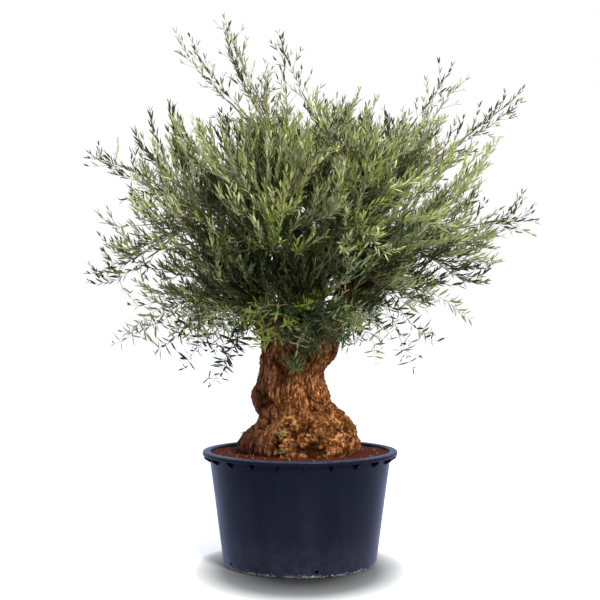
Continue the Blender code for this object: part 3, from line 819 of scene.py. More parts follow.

# %% [markdown]
# Bark takes its colour from its shape: creases hold dirt and painted shade, ridges are rubbed pale
# and the burls are a warmer orange. The crease and burl values that were kept on each point drive
# that, and noise breaks it up. Then a list of washes goes over it, each with the share it covers:
# orange patches, then painted shade on the left side, which is also greyer, on the foot, on the
# head, darkest on the inside of the crown, and last dirt with painted shade in the creases.

# %% The bark's finish
bark_finish, paint, shader = new_finish("olive_bark")
place = place_in(paint)
parts = put(paint, "ShaderNodeSeparateXYZ", place).outputs
deep = put(paint, "ShaderNodeAttribute", attribute_name="crease").outputs["Fac"]
lump = put(paint, "ShaderNodeAttribute", attribute_name="burl").outputs["Fac"]
fibre = noise_in(arrows("MULTIPLY", place, (1.0, 1.0, 0.22)), 95.0, 7.0, 0.68)
blotch = noise_in(place, 48.0, 8.0, 0.70)
fibre_tone = ramp(fibre, (0.38, (0.024, 0.0055, 0.0010)), (0.50, (0.125, 0.038, 0.009)),
                  (0.64, (0.48, 0.235, 0.105)))
burl_tone = ramp(blotch, (0.40, (0.030, 0.0070, 0.0010)), (0.50, (0.115, 0.038, 0.009)),
                 (0.62, (0.43, 0.210, 0.090)))
coat = blend(lump, fibre_tone, burl_tone)
speck = remap(noise_in(place, 260.0, 4.0, 0.6), 0.38, 0.62, 0.45, 1.35)
coat = blend(1.0, coat, speck, "MULTIPLY")
orange = remap(noise_in(place, 4.2, 3.0, 0.5), 0.52, 0.68, 0.0, 0.35)
low_left = sums("ADD", parts["X"], sums("MULTIPLY", parts["Z"], 0.5))
painted_foot_shade = sums("MULTIPLY", remap(low_left, 0.20, 0.08, 0.0, 0.80),
                  remap(blotch, 0.48, 0.62, 1.0, 0.25))
WASHES = [
    (orange, (0.26, 0.085, 0.018)),
    # painted shade: the left side of the trunk is darker and greyer
    (remap(parts["X"], -0.08, -0.22, 0.0, 0.55), (0.080, 0.036, 0.028)),
    # painted shade on the low left foot
    (painted_foot_shade, (0.026, 0.0085, 0.0060)),
    # painted shade on the trunk's head under the crown
    (remap(parts["Z"], 0.84, 1.16, 0.0, 0.42), (0.070, 0.032, 0.018)),
    # painted shade, nearly black, on the boughs inside the crown
    (remap(parts["Z"], 1.12, 1.40, 0.0, 0.88), (0.012, 0.008, 0.0045)),
    # dirt and painted shade in the creases
    (remap(deep, 0.22, 0.75, 0.0, 0.94), (0.012, 0.0030, 0.0006)),
]
for share, colour in WASHES:
    coat = blend(share, coat, colour)
rise = sums("ADD", fibre, sums("MULTIPLY", blotch, 0.8))
give_all(shader, {
    "Base Color": coat, "Roughness": remap(fibre, 0.3, 0.7, 0.95, 0.72),
    "Normal": bumps(1.0, 0.010, rise),
    "Specular IOR Level": 0.03, "Specular Tint": (1.0, 0.75, 0.5)})
bark.data.materials.append(bark_finish)
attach(bark, "root")
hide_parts("trunk", *bough_names)

# %% [markdown]
# ## Where the crown grows
# The measured masses of foliage say how far the crown reaches and where its sprays stick out. They
# are only a guide here: shoots grow inside them and stop near their skin. One search tree over all
# their faces answers how deep a point lies, which is negative inside.

# %% The crown's outline
HEART = np.array([0.026, 0.0, 1.733])
FORK = np.array([0.0, 0.0, 1.15])
FAN_FOOT = np.array([0.0, 0.0, 1.08])
HEM_CENTRE = np.array([0.0, 0.0, 1.30])
mass_names = sorted(name for name in cad if name.startswith("mass_"))
spray_names = [name for name in mass_names
               if "spray" in name or "hanging" in name or "spire" in name]
dome_names = [name for name in mass_names if name not in spray_names]
rng = np.random.default_rng(SEED)


def search_tree(names):
    points, faces = [], []
    for name in names:
        mesh = cad[name].data
        first = len(points)
        points += [point.co for point in mesh.vertices]
        faces += [[first + corner for corner in face.vertices] for face in mesh.polygons]
    return BVHTree.FromPolygons(points, faces)


whole_crown = search_tree(mass_names)
dome_crown = search_tree(dome_names)


def depth_of(point):
    """How far a point stands out of the masses; below zero it is inside one."""
    near, normal, _, gap = whole_crown.find_nearest(Vector(point))
    return math.copysign(gap, (Vector(point) - near).dot(normal))


def reach_towards(way):
    """How far the dome reaches from its heart in one direction."""
    far = Vector(HEART + 3.0 * way)
    hit = dome_crown.ray_cast(far, -Vector(way))[0]
    return 0.0 if hit is None else (hit - Vector(HEART)).length


def unit(vector):
    return vector / max(np.linalg.norm(vector), 1e-9)


def flow_at(point):
    """The way stems lean at a place: they fan out from the fork, and turn up in the upper crown."""
    lift = 0.55 * ease(point[2], 1.40, 1.80)
    return unit(unit(point - FAN_FOOT) + np.array([0.0, 0.0, lift]))


def rise_at(point):
    """The way young shoots stand: upright with a slight lean, but level and sagging at the hem."""
    hem = 1 - ease(point[2], 1.20, 1.50)
    young = np.array([0.22 + (0.55 if point[0] > 0 else 0.32) * point[0], 0.40 * point[1], 1.0])
    spread = unit(point - HEM_CENTRE)
    return unit((1 - hem) * unit(young) + hem * (spread - np.array([0.0, 0.0, 0.15])))


print("crown:", len(dome_names), "masses in the dome and", len(spray_names), "sprays")

# %% [markdown]
# ## The branching rule
# The crown grows in three orders, as on the tree. Limbs run on from the boughs. Plumes, the long
# whippy stems that fan out, leave the limbs and run to the outline. Side shoots leave the plumes,
# and the leaves sit on them. A new stem starts from the old point that it reaches with the least
# length and the least turn, and bends smoothly to the lean of its own place. Every draw comes from
# one seeded generator.

# %% Stems that grow from older stems
STEM_STEP = 0.045
TURN_COST = 2.2
INWARD_COST = 5.0
CLOSE_COST = 0.6
TOO_CLOSE = 0.08
TRUNK_CLEAR = 0.26
TRUNK_CLEAR_TOP = 1.42

spots, ways, parents = [], [], []
stems = {"limb": [], "plume": [], "shoot": []}


def grow_stem(parent, path):
    """Adds a path of points that starts at an old point, and returns the new points' numbers."""
    made = []
    for before, here in zip([spots[parent]] + path[:-1], path):
        spots.append(here)
        ways.append(unit(here - before))
        parents.append(made[-1] if made else parent)
        made.append(len(spots) - 1)
    return made


def best_parent(target, pool):
    """The old point from which the target is reached with the least length and turn."""
    from_here = np.array([spots[i] for i in pool])
    heading = np.array([ways[i] for i in pool])
    gap = target - from_here
    length = np.linalg.norm(gap, axis=1) + 1e-6
    turn_share = 1 - (gap * heading).sum(1) / length
    inward = np.linalg.norm(from_here - FORK, axis=1) > np.linalg.norm(target - FORK) - 0.03
    cost = length * (1 + TURN_COST * turn_share ** 1.5)
    cost = cost + INWARD_COST * inward + CLOSE_COST * (length < TOO_CLOSE)
    return pool[int(np.argmin(cost))]


def smooth_path(start, start_way, end, end_way, step, wobble=0.0):
    """A bent path between two points, leaving and arriving in the given directions."""
    span = np.linalg.norm(end - start)
    count = max(3, int(round(span / step)))
    share = np.linspace(0, 1, count + 1)[1:, None]
    out, arrive = start_way * span * 0.9, end_way * span * 0.8
    line = ((2 * share**3 - 3 * share**2 + 1) * start + (share**3 - 2 * share**2 + share) * out
            + (3 * share**2 - 2 * share**3) * end + (share**3 - share**2) * arrive)
    line[:-1] += rng.normal(0, wobble, (count - 1, 3))
    return list(line)


def spread_targets(count, depths):
    """Targets spread evenly by direction round the heart. Depths gives each one's share of the way."""
    found = []
    golden = math.pi * (3 - math.sqrt(5))
    for number in range(count):
        rise = 1 - 2 * (number + 0.5) / count
        turn_by = golden * number + rng.normal(0, 0.12)
        flat = math.sqrt(1 - rise * rise)
        way = unit(np.array([flat * math.cos(turn_by), flat * math.sin(turn_by), rise])
                   + rng.normal(0, 0.05, 3))
        place = HEART + way * reach_towards(way) * depths(way)
        beside_trunk = np.hypot(place[0], place[1]) < TRUNK_CLEAR and place[2] < TRUNK_CLEAR_TOP
        if reach_towards(way) > 0.3 and not beside_trunk:
            found.append(place)
    return sorted(found, key=lambda place: np.linalg.norm(place - FORK))


# %% Limbs
LIMB_COUNT = 64

for name in bough_names:
    root, tip = bough_lines[name]
    spots.append(root)
    ways.append(unit(tip - root))
    parents.append(-1)
    grow_stem(len(spots) - 1, [root + (tip - root) * share for share in (0.4, 0.6, 0.8, 0.93)])
limb_pool = [i for i in range(len(spots)) if parents[i] != -1]
for target in spread_targets(LIMB_COUNT, lambda way: rng.uniform(0.25, 0.58)):
    parent = best_parent(target, limb_pool)
    start_way = unit(ways[parent] + 0.45 * unit(target - spots[parent]))
    made = grow_stem(parent, smooth_path(spots[parent], start_way, target, flow_at(target),
                                         STEM_STEP, 0.004))
    stems["limb"].append([parent] + made)
    limb_pool += made[1:]
print("limbs:", len(stems["limb"]))

# %% [markdown]
# ## Shoots
# A shoot grows step by step. Each step turns it toward the lean of its place and lets it sag a little.
# It stops where it would leave the crown or the measured box, and is noted with the tint and the
# spacing that its leaves will need. Shaded places draw mostly deep leaves, a painted shade, and
# outer and front ones paler leaves, a painted light.

# %% Shoots
TINTS = ("deep", "olive", "grey", "fresh", "pale")
SHOOT_STEPS = 6
STAND_OUT = 0.065
HEM_SPLAY = 0.75
BOX_MARGIN = 0.012
shoot_notes = {"tint": [], "plume": [], "gap": [], "splay": [], "size": []}
box_low = np.array(cad_box[0]) + BOX_MARGIN
box_high = np.array(cad_box[1]) - BOX_MARGIN


def shoot_path(start, way, lean, length, sag):
    """Points of one shoot, grown step by step: each step turns toward the lean and sags."""
    path, here = [], start
    for number in range(SHOOT_STEPS):
        way = unit(way + 0.24 * (lean - way) + rng.normal(0, 0.04, 3)
                   + np.array([0, 0, -sag * (number / SHOOT_STEPS) * (1 - abs(way[2]))]))
        here = here + way * length / SHOOT_STEPS
        path.append(here)
    return path


def tint_for(place):
    """A spray's tint, by place and chance: deep leaves as painted shade, paler ones as painted light.
    """
    low = 1 - ease(place[2], 1.25, 1.85)
    gap = place - HEART
    outer = ease(np.linalg.norm(gap) / max(reach_towards(unit(gap)), 0.3), 0.40, 0.95)
    front = np.clip(-place[1] / 0.6, 0, 1)
    outer *= max(ease(math.hypot(place[0], place[1]), 0.25, 0.60), ease(place[2], 1.55, 1.80))
    shaded = (1 - outer) * (1 - 0.75 * ease(place[2], 1.90, 2.20))
    less_painted_light_right = 1 - 0.40 * ease(place[0], 0.25, 0.70)
    # deep is painted shade; fresh and pale are painted light, partly new growth, fewer on the lit
    # right
    chances = np.array([0.14 + 0.90 * shaded + 0.60 * low, 0.36, 0.20 + 0.20 * low,
                        0.02 + 0.20 * (outer + 0.8 * front) * (1 - low) * less_painted_light_right,
                        0.02 + 0.18 * (outer + 0.3 * front) * (1 - 0.7 * low) * less_painted_light_right])
    return int(rng.choice(len(TINTS), p=chances / chances.sum()))


def add_shoot(parent, path, tint, gap, size=1.0, limit=STAND_OUT):
    """Keeps a shoot as far as it stays in the crown, with the notes its leaves will need."""
    outside = [place for place, here in enumerate(path)
               if depth_of(here) > limit or np.any(here < box_low) or np.any(here > box_high)]
    kept = path[:outside[0]] if outside else path
    if len(kept) < 3:
        return
    splay = HEM_SPLAY * (1 - ease(kept[-1][2], 1.10, 1.45))
    stems["shoot"].append([parent] + grow_stem(parent, kept))
    notes = {"tint": tint, "plume": len(stems["plume"]), "gap": gap, "splay": splay, "size": size}
    for note, value in notes.items():
        shoot_notes[note].append(value)


print("a shoot stands out", STAND_OUT, "m at most")

# %% [markdown]
# ## Plumes
# A plume carries side shoots along its outer part. They are long near its foot, short near its tip,
# leave it at a slant and sweep forward, and long level ones sag. That gives the shape of a flame.
# A plume deals one tint to most of its shoots: the painted light or shade of where its tip stands.

# %% One plume
SIDE_GAP = 0.036
SIDE_LONG = 0.30
SIDE_SHORT = 0.10


def add_plume(tip, end_way, fullness, gap, tint=None, spread=0.2, size=1.0, limit=STAND_OUT):
    """One plume from the limbs to its tip. Fullness scales its side shoots' number and length."""
    parent = best_parent(tip, limb_pool)
    start_way = unit(ways[parent] + 0.8 * unit(tip - spots[parent]))
    path = smooth_path(spots[parent], start_way, tip, end_way, STEM_STEP, 0.003)
    tint = tint_for(tip) if tint is None else tint
    cut = max(2, int(0.55 * len(path)))
    made = grow_stem(parent, path[:cut])
    add_shoot(made[-1], path[cut:], tint, gap, size, limit)
    length = np.linalg.norm(tip - spots[parent])
    turn_by = rng.uniform(0, 6.28)
    count = int(fullness * 0.80 * length / SIDE_GAP)
    for number in range(count):
        share = 0.08 + 0.80 * (number + rng.uniform(0, 1)) / count
        place = share * len(path)
        step = int(min(place, len(path) - 1))
        before = path[step - 1] if step else spots[parent]
        along = unit(path[step] - before)
        start = before + (path[step] - before) * (place - step)
        turn_by += 2.4
        first = unit(np.cross(along, (0.3, 0.2, 1.0)))
        aside = math.cos(turn_by) * first + math.sin(turn_by) * np.cross(along, first)
        way = unit(along + aside * (rng.uniform(0.25, 0.85) + 0.5 * spread))
        lean = unit(0.35 * along + spread * aside + 1.0 * rise_at(start))
        reach = (SIDE_LONG + (SIDE_SHORT - SIDE_LONG) * share) * rng.uniform(0.65, 1.2)
        reach *= (0.45 + 0.55 * fullness) * (1 - 0.35 * ease(start[2], 1.9, 2.4))
        nearest = made[min(step, len(made) - 1)]
        spots.append(start)
        ways.append(along)
        parents.append(nearest)
        own_tint = tint if rng.random() < 0.3 + 0.6 * share else tint_for(start)
        add_shoot(len(spots) - 1, shoot_path(start, way, lean, reach, rng.uniform(0, 0.3)),
                  own_tint, gap * rng.uniform(0.8, 1.1 + 0.4 * share), size, limit)
    stems["plume"].append([parent] + made)


print("side shoots:", SIDE_SHORT, "to", SIDE_LONG, "m long")

# %% [markdown]
# A plume's tip is what makes the outline, so tips are spread over the measured dome, some short of
# its skin and some past it. A skirt and a few rows of plumes hang like a veil in front of the fork,
# other rows close the back, and single plumes fill thin places. Two with pale leaves in front are
# painted highlights.

# %% Plumes of the dome
PLUME_COUNT = 380
LEAF_GAP = 0.0215
FRONT_SKIRT = [(-0.18, -0.36, 1.19), (-0.10, -0.42, 1.16), (0.0, -0.45, 1.15), (0.08, -0.42, 1.15),
               (0.15, -0.40, 1.15), (0.21, -0.36, 1.18)]
FILLS = [(0.84, -0.10, 1.52), (0.74, 0.05, 1.46), (0.70, -0.22, 1.58), (0.92, 0.02, 1.60),
         (-0.18, 0.36, 1.55), (-0.22, 0.24, 1.52), (0.12, 0.36, 1.42), (0.06, 0.36, 1.72)]
# painted highlights: these two plumes carry only pale leaves
PAINTED_HIGHLIGHT_TIPS = [(0.22, -0.84, 1.575), (0.44, -0.80, 1.575)]
PALE = TINTS.index("pale")
# height of each row, and how far in front of or behind the trunk it stands
VEIL_ROWS = {1.38: 0.62, 1.58: 0.74, 1.80: 0.84, 2.00: 0.80}
VEIL_PLUMES = 10
VEIL_HALF_WIDTH = 0.42
BACK_ROWS = {1.44: 0.52, 1.66: 0.66}
BACK_PLUMES = 8
BACK_TURNS = (0.5, 2.9)
# slope in degrees from the right, over the top to the left, and round below: least share of the way
TIP_SHARES = [(0, 0.90), (20, 0.98), (40, 0.66), (60, 0.57), (90, 0.50), (120, 0.49), (140, 0.68),
              (155, 0.90), (180, 0.96), (200, 0.90), (225, 0.84), (240, 0.80), (270, 0.55),
              (300, 0.28), (318, 0.28), (332, 0.64), (345, 0.92), (360, 0.90)]


def tip_share(way):
    """Where a plume ends, as a share of the dome: mostly short on top and below, long at the sides."""
    slope = math.degrees(math.atan2(way[2], way[0])) % 360
    least = float(np.interp(slope, *zip(*TIP_SHARES)))
    least += ((0.60 if way[2] < 0 else 0.76) - least) * way[1] ** 2
    return least + (1.05 - least) * rng.random() ** 2.2


for tip in spread_targets(PLUME_COUNT, tip_share):
    droop = 0.35 * (1 - ease(tip[2], 1.25, 1.60))
    end_way = unit(0.6 * flow_at(tip) + 0.5 * rise_at(tip) + rng.normal(0, 0.15, 3)
                   - np.array([0, 0, droop]))
    outer = ease(np.linalg.norm(tip - HEART) / reach_towards(unit(tip - HEART)), 0.70, 1.0)
    hem = 1 - ease(tip[2], 1.20, 1.45)
    add_plume(tip, end_way, rng.uniform(0.80, 1.15) - 0.50 * outer - 0.25 * hem,
              LEAF_GAP * (rng.uniform(0.85, 1.20) + 0.50 * outer + 0.45 * hem), None,
              0.2 + 0.5 * hem, 1 + 0.15 * hem)
for tip in FRONT_SKIRT:
    add_plume(np.array(tip), unit(np.array([0.0, -0.6, -0.6]) + rng.normal(0, 0.25, 3)), 0.9, LEAF_GAP)
for tip in FILLS:
    add_plume(np.array(tip), flow_at(np.array(tip)), 0.9, LEAF_GAP)
for tip in PAINTED_HIGHLIGHT_TIPS:
    add_plume(np.array(tip), unit(np.array([0.85, -0.35, 0.45])), 0.35, 0.80 * LEAF_GAP, PALE)
for upward, forward in VEIL_ROWS.items():
    for across in np.linspace(-VEIL_HALF_WIDTH, VEIL_HALF_WIDTH, VEIL_PLUMES):
        tip = np.array([across, 0.5 * across**2 - forward, upward]) + rng.normal(0, 0.07, 3)
        tip[1] += rng.uniform(0, 0.25)
        end_way = unit(np.array([0.0, -0.7, 0.9 * upward - 1.1]) + rng.normal(0, 0.25, 3))
        add_plume(tip, end_way, 1.0, LEAF_GAP)
for upward, backward in BACK_ROWS.items():
    for turn_by in np.linspace(*BACK_TURNS, BACK_PLUMES):
        tip = np.array([math.cos(turn_by) * backward, math.sin(turn_by) * backward, upward])
        add_plume(tip + rng.normal(0, 0.05, 3), flow_at(tip), 1.0, LEAF_GAP)
dome_plumes = len(stems["plume"])
print("plumes of the dome:", dome_plumes)

# %% [markdown]
# Short shoots on the limbs and boughs fill the inside. Each measured spray that sticks out gets a
# few thin, sparse plumes, and some more hang from the hem. One last plume closes a gap at the back.

# %% Inner shoots, sprays and hanging stems
INNER_SHOOTS = 2
BOUGH_SHOOTS = 16
# low on the right the inside stays open
INNER_RIGHT = 0.20
INNER_LOW = 1.38
SPRAY_PLUMES = {"spire": 5, "spray": 2}
SPRAY_FULLNESS = 0.95
SPRAY_LEAF = 0.88
SPARSE_GAP = 0.040
HANGING_TIPS = [(-0.93, 1.13), (-0.84, 1.19), (-0.72, 1.08), (-0.60, 1.03), (-0.55, 1.12),
                (-0.45, 0.92), (-0.38, 1.02), (0.40, 1.10), (0.58, 1.00), (0.70, 1.14), (0.84, 1.26)]
BACK_FILL = (-0.30, 0.22, 1.70)

inner_spots = [at for stem in stems["limb"] for at in stem[1:] for _ in range(INNER_SHOOTS)]
inner_spots += [at for at in range(5 * len(bough_names)) for _ in range(BOUGH_SHOOTS)]
inner_spots = [at for at in inner_spots
               if spots[at][0] < INNER_RIGHT or spots[at][2] > INNER_LOW]
for at in inner_spots:
    way = unit(rng.normal(0, 1, 3) + 0.6 * ways[at] + 0.4 * rise_at(spots[at]))
    path = shoot_path(spots[at], way, rise_at(spots[at]), rng.uniform(0.12, 0.30), 0.1)
    add_shoot(at, path, tint_for(spots[at]), LEAF_GAP)
# sprays and hanging stems take mostly deep leaves, a painted shade, and otherwise grey ones
for name in spray_names:
    cloud = read_points(cad[name].data)
    out = np.linalg.norm(cloud - HEART, axis=1)
    foot, tip = cloud[out < np.quantile(out, 0.12)].mean(0), cloud[int(np.argmax(out))]
    count = SPRAY_PLUMES.get(name.split("_")[1], 0)
    for number in range(count):
        end = foot + (1 - 0.09 * number) * (tip - foot) + rng.normal(0, 0.045, 3) * min(number, 1)
        add_plume(end, unit(end - foot + rng.normal(0, 0.05, 3)), SPRAY_FULLNESS / (1 + 0.5 * number),
                  0.85 * SPARSE_GAP, int(rng.choice([0, 0, 2])), 1.0, SPRAY_LEAF)
for across, upward in HANGING_TIPS:
    tip = np.array([across, rng.uniform(-0.25, 0.0), upward])
    end_way = unit(np.array([0.7 * np.sign(across), 0, -0.7]) + rng.normal(0, 0.25, 3))
    add_plume(tip, end_way, 0.50, SPARSE_GAP * rng.uniform(0.65, 0.9), int(rng.choice([0, 0, 2])),
              0.9, 1.2, 2.4 * STAND_OUT)
add_plume(np.array(BACK_FILL), flow_at(np.array(BACK_FILL)), 1.0, LEAF_GAP)
print("plumes:", dome_plumes, "in the dome,", len(stems["plume"]) - dome_plumes, "in sprays;",
      len(stems["shoot"]), "shoots,", len(spots), "points in all")

# %% [markdown]
# An old trunk also sprouts from its bark. One grey tuft sits high on the front and a few yellow-green
# suckers start low on the burls. A ray toward the trunk finds the bark's surface for each of them.

# %% Sprouts on the trunk
SPROUTS = [
    # across, height, number of shoots, length, tint, size of leaf
    (-0.030, 1.020, 9, 0.055, 2, 0.8), (-0.020, 1.045, 7, 0.050, 1, 0.8),
    (-0.090, 0.680, 3, 0.020, 3, 0.4), (-0.082, 0.605, 2, 0.018, 3, 0.4),
    (-0.295, 0.655, 3, 0.018, 1, 0.4), (0.280, 0.690, 3, 0.018, 1, 0.4),
]
bark_surface = BVHTree.FromPolygons(
    [Vector(point) for point in relief], [tuple(face.vertices) for face in bark.data.polygons])
for across, upward, count, length, tint, size in SPROUTS:
    found, normal, _, _ = bark_surface.ray_cast(Vector((across, -1.5, upward)), Vector((0, 1, 0)))
    if found is None:
        continue
    for _ in range(count):
        spots.append(np.array(found) - 0.004 * np.array(normal))
        ways.append(np.array(normal))
        parents.append(-1)
        way = unit(np.array(normal) + rng.normal(0, 0.55, 3) + np.array([0, 0, 0.2]))
        path = shoot_path(spots[-1], way, unit(way + np.array([0, 0, 0.5])),
                          length * rng.uniform(0.7, 1.3), 0.0)
        add_shoot(len(spots) - 1, path, tint, 0.014 * size, size, math.inf)

# %% [markdown]
# ## Thickness
# A tree keeps about the same total cross-section at every height: a stem's area is the sum of the
# areas of what it carries. Summing from the tips down gives every point its radius, and so limbs
# come out of the boughs at nearly the boughs' own thickness with no size set by hand.

# %% Radius of every stem
TIP_RADIUS = 0.0008
SHOOT_RADIUS = 0.0013
THICKEST = 0.026

area = np.zeros(len(spots))
for stem in stems["shoot"]:
    area[stem[-1]] += SHOOT_RADIUS**2
for spot in range(len(spots) - 1, -1, -1):
    if parents[spot] >= 0:
        area[parents[spot]] += area[spot]
radius_at = np.clip(np.sqrt(np.maximum(area, SHOOT_RADIUS**2)), 0, THICKEST)


def stem_lines(name, chosen, radii, extras=None):
    """A mesh of bare lines, one for each stem, with its thickness and other values on the points."""
    points, edges, thick, share, more = [], [], [], [], {key: [] for key in extras or {}}
    for number, stem in enumerate(chosen):
        first = len(points)
        points += [spots[i] for i in stem]
        edges += [(first + i, first + i + 1) for i in range(len(stem) - 1)]
        thick += radii(stem)
        share += list(np.linspace(0, 1, len(stem)))
        for key, values in (extras or {}).items():
            more[key] += [values[number]] * len(stem)
    lines = add_object(name, mesh_from(name, points, (), edges))
    keep_values(lines.data, "POINT", {"thick": thick, "share": share, **more})
    return lines


def wood_radii(stem):
    """Along a limb or plume. Its foot is as thick as the point after it, not as what it leaves."""
    found = [radius_at[i] for i in stem]
    found[0] = found[1]
    return found


def shoot_radii(stem):
    return list(np.linspace(1.25 * SHOOT_RADIUS, TIP_RADIUS, len(stem)))


# %% [markdown]
# ## Limbs and twigs
# Geometry Nodes turn the lines into round stems: each line becomes a curve, takes its radius from
# the value on its points, and carries a small ring along it. Limbs and plumes are ringed with
# seven sides, the thousands of thin shoots with three.

# %% Wood from lines
tube, tube_in, tube_out = new_tree("stems from lines", {"Sides": "Int", "Finish": "Material"})
tube_line = put(tube, "GeometryNodeMeshToCurve", tube_in["Geometry"])
tube_radius = put(tube, "GeometryNodeInputNamedAttribute", "thick", data_type="FLOAT")
tube_ring = put(tube, "GeometryNodeCurvePrimitiveCircle", tube_in["Sides"], 1.0, mode="RADIUS")
tube_mesh = put(tube, "GeometryNodeCurveToMesh", tube_line.outputs[0], tube_ring.outputs[0],
                tube_radius.outputs["Attribute"], True)
tube_smooth = put(tube, "GeometryNodeSetShadeSmooth", tube_mesh.outputs[0])
end_tree(tube, tube_smooth.outputs[0], tube_in["Finish"], tube_out["Geometry"])


def wood_finish(name, dark, light, size, roughness):
    made, tree, shader = new_finish(name)
    fleck = noise_in(place_in(tree), 1 / size, 5.0, 0.6)
    give_all(shader, {
        "Base Color": ramp(fleck, (0.36, dark), (0.62, light)),
        "Roughness": remap(fleck, 0.3, 0.7, roughness + 0.1, roughness - 0.1),
        "Specular IOR Level": 0.3})
    return made


limb_finish = wood_finish("limb_bark", (0.036, 0.026, 0.015), (0.110, 0.092, 0.056), 0.022, 0.85)
shoot_finish = wood_finish("shoot_bark", (0.080, 0.062, 0.030), (0.200, 0.170, 0.085), 0.060, 0.7)
limb_lines = stem_lines("limb_lines", stems["limb"] + stems["plume"], wood_radii)
shoot_lines = stem_lines("shoot_lines", stems["shoot"], shoot_radii)
limbs = grown("limbs", limb_lines, tube, {"Sides": 7, "Finish": limb_finish})
twigs = grown("twigs", shoot_lines, tube, {"Sides": 3, "Finish": shoot_finish})
for piece in (limbs, twigs):
    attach(piece, "root")
print("limbs:", triangles(limbs), "twigs:", triangles(twigs), "triangles")

# %% [markdown]
# ## One leaf
# An olive leaf is a narrow lance with a dark, slightly domed upper side and a silvery underside.
# Seven points are enough: an outline of six and one raised in the middle. Six faces make the upper
# side and four the underside, which is marked so that it can be given its own finish.

# %% The leaf
LEAF_HALF_WIDTH = 0.088
UPPER_FACES = 6
LOWER_FACES = 4
leaf_outline = [(0, 0, 0), (0.28, -0.90, -0.01), (0.66, -0.92, -0.02), (1, 0, -0.10),
                (0.66, 0.92, -0.02), (0.28, 0.90, -0.01)]
leaf_points = [(x, y * LEAF_HALF_WIDTH, z) for x, y, z in leaf_outline] + [(0.47, 0, 0.035)]
leaf_faces = [(i, (i + 1) % 6, 6) for i in range(6)] + [(0, 5, 1), (5, 4, 1), (4, 2, 1), (4, 3, 2)]
leaf_mesh = mesh_from("leaf", leaf_points, leaf_faces)
keep_values(leaf_mesh, "FACE", {"under": [0] * UPPER_FACES + [1] * LOWER_FACES})
leaf = add_object("leaf", leaf_mesh)
print("leaf:", len(leaf_points), "points,", len(leaf_faces), "faces")

# %% [markdown]
# ## Leaves on shoots
# Olive leaves sit in opposite pairs, and each pair is turned a quarter round from the one before.
# The tree below walks along every shoot in even steps. At each step it works out a side direction,
# leans the leaf from the shoot toward its tip, and faces the blade partly to the sky, as leaves
# turn to the light. Size, lean and roll vary at random. Each leaf keeps its shoot's tint.

# %% Leaf finishes
# upper sides by tint, in linear colour; deep is painted shade, fresh and pale partly painted light
UPPER = {
    "deep": (0.008, 0.0125, 0.0018), "olive": (0.062, 0.078, 0.011), "grey": (0.074, 0.088, 0.040),
    "fresh": (0.122, 0.142, 0.036), "pale": (0.220, 0.238, 0.105),
}
# painted shade: shoots of the deep tint get a dark underside
UNDER_SHADED = (0.022, 0.028, 0.009)
UNDER_OTHERS = (0.155, 0.172, 0.082)


def leaf_finish(name, colour, roughness, gloss):
    made, _, shader = new_finish(name)
    give_all(shader, {"Base Color": colour, "Roughness": roughness, "Specular IOR Level": gloss,
                      "Specular Tint": (0.95, 1.0, 0.60)})
    return made


upper_finishes = [leaf_finish("leaf_" + tint, UPPER[tint], 0.40, 0.14) for tint in TINTS]
under_finishes = [leaf_finish("leaf_underside_shaded", UNDER_SHADED, 0.75, 0.03),
                  leaf_finish("leaf_underside", UNDER_OTHERS, 0.70, 0.08)]
print("leaf finishes:", len(upper_finishes), "upper,", len(under_finishes), "under")

# %% Leaves by Geometry Nodes
leafing, leaf_in, leaf_out = new_tree("leaves on shoots", {
    "Leaf": "Object", "Shortest": "Float", "Longest": "Float",
    "Least Lean": "Float", "Most Lean": "Float", "To Sky": "Float", "Upturn": "Float",
    "Bare Foot": "Float", "Seed": "Int"})


def chance(low, high, salt, kind="FLOAT"):
    """A random value for each point. The salt keeps draws of the same seed apart."""
    seed = put(leafing, "FunctionNodeIntegerMath", leaf_in["Seed"], salt, operation="ADD")
    made = put(leafing, "FunctionNodeRandomValue", low, high, None, seed.outputs[0], data_type=kind)
    return next(socket for socket in made.outputs if socket.enabled)


def all_added(first, *others):
    for other in others:
        first = arrows("ADD", first, other)
    return first


def on_point(name):
    made = put(leafing, "GeometryNodeInputNamedAttribute", name, data_type="FLOAT")
    return made.outputs["Attribute"]


leaf_curve = put(leafing, "GeometryNodeMeshToCurve", leaf_in["Geometry"])
leaf_steps = put(leafing, "GeometryNodeResampleCurve", mode="LENGTH")
give_all(leaf_steps, {"Curve": leaf_curve.outputs[0], "Length": on_point("gap")})
tip_way = put(leafing, "GeometryNodeInputTangent").outputs["Tangent"]
first_side = put(leafing, "GeometryNodeInputNormal").outputs["Normal"]
step_number = put(leafing, "GeometryNodeSplineParameter").outputs["Index"]
quarter = sums("MULTIPLY", step_number, math.pi / 2)
roll = sums("ADD", sums("ADD", quarter, on_point("plume")), chance(-0.4, 0.4, 1))
side = put(leafing, "ShaderNodeVectorRotate", first_side, None, tip_way, roll).outputs["Vector"]
share_along = on_point("share")
leafy = sums("GREATER_THAN", share_along, leaf_in["Bare Foot"])
size_share = sums("MULTIPLY", remap(share_along, 0.55, 1.0, 1.0, 0.75),
                  remap(share_along, 0.0, 0.25, 0.75, 1.0))
size_share = sums("MULTIPLY", size_share, on_point("size"))
to_sky = arrows("SCALE", (0, 0, 1), leaf_in["To Sky"])
upturn = arrows("SCALE", (0, 0, 1), leaf_in["Upturn"])

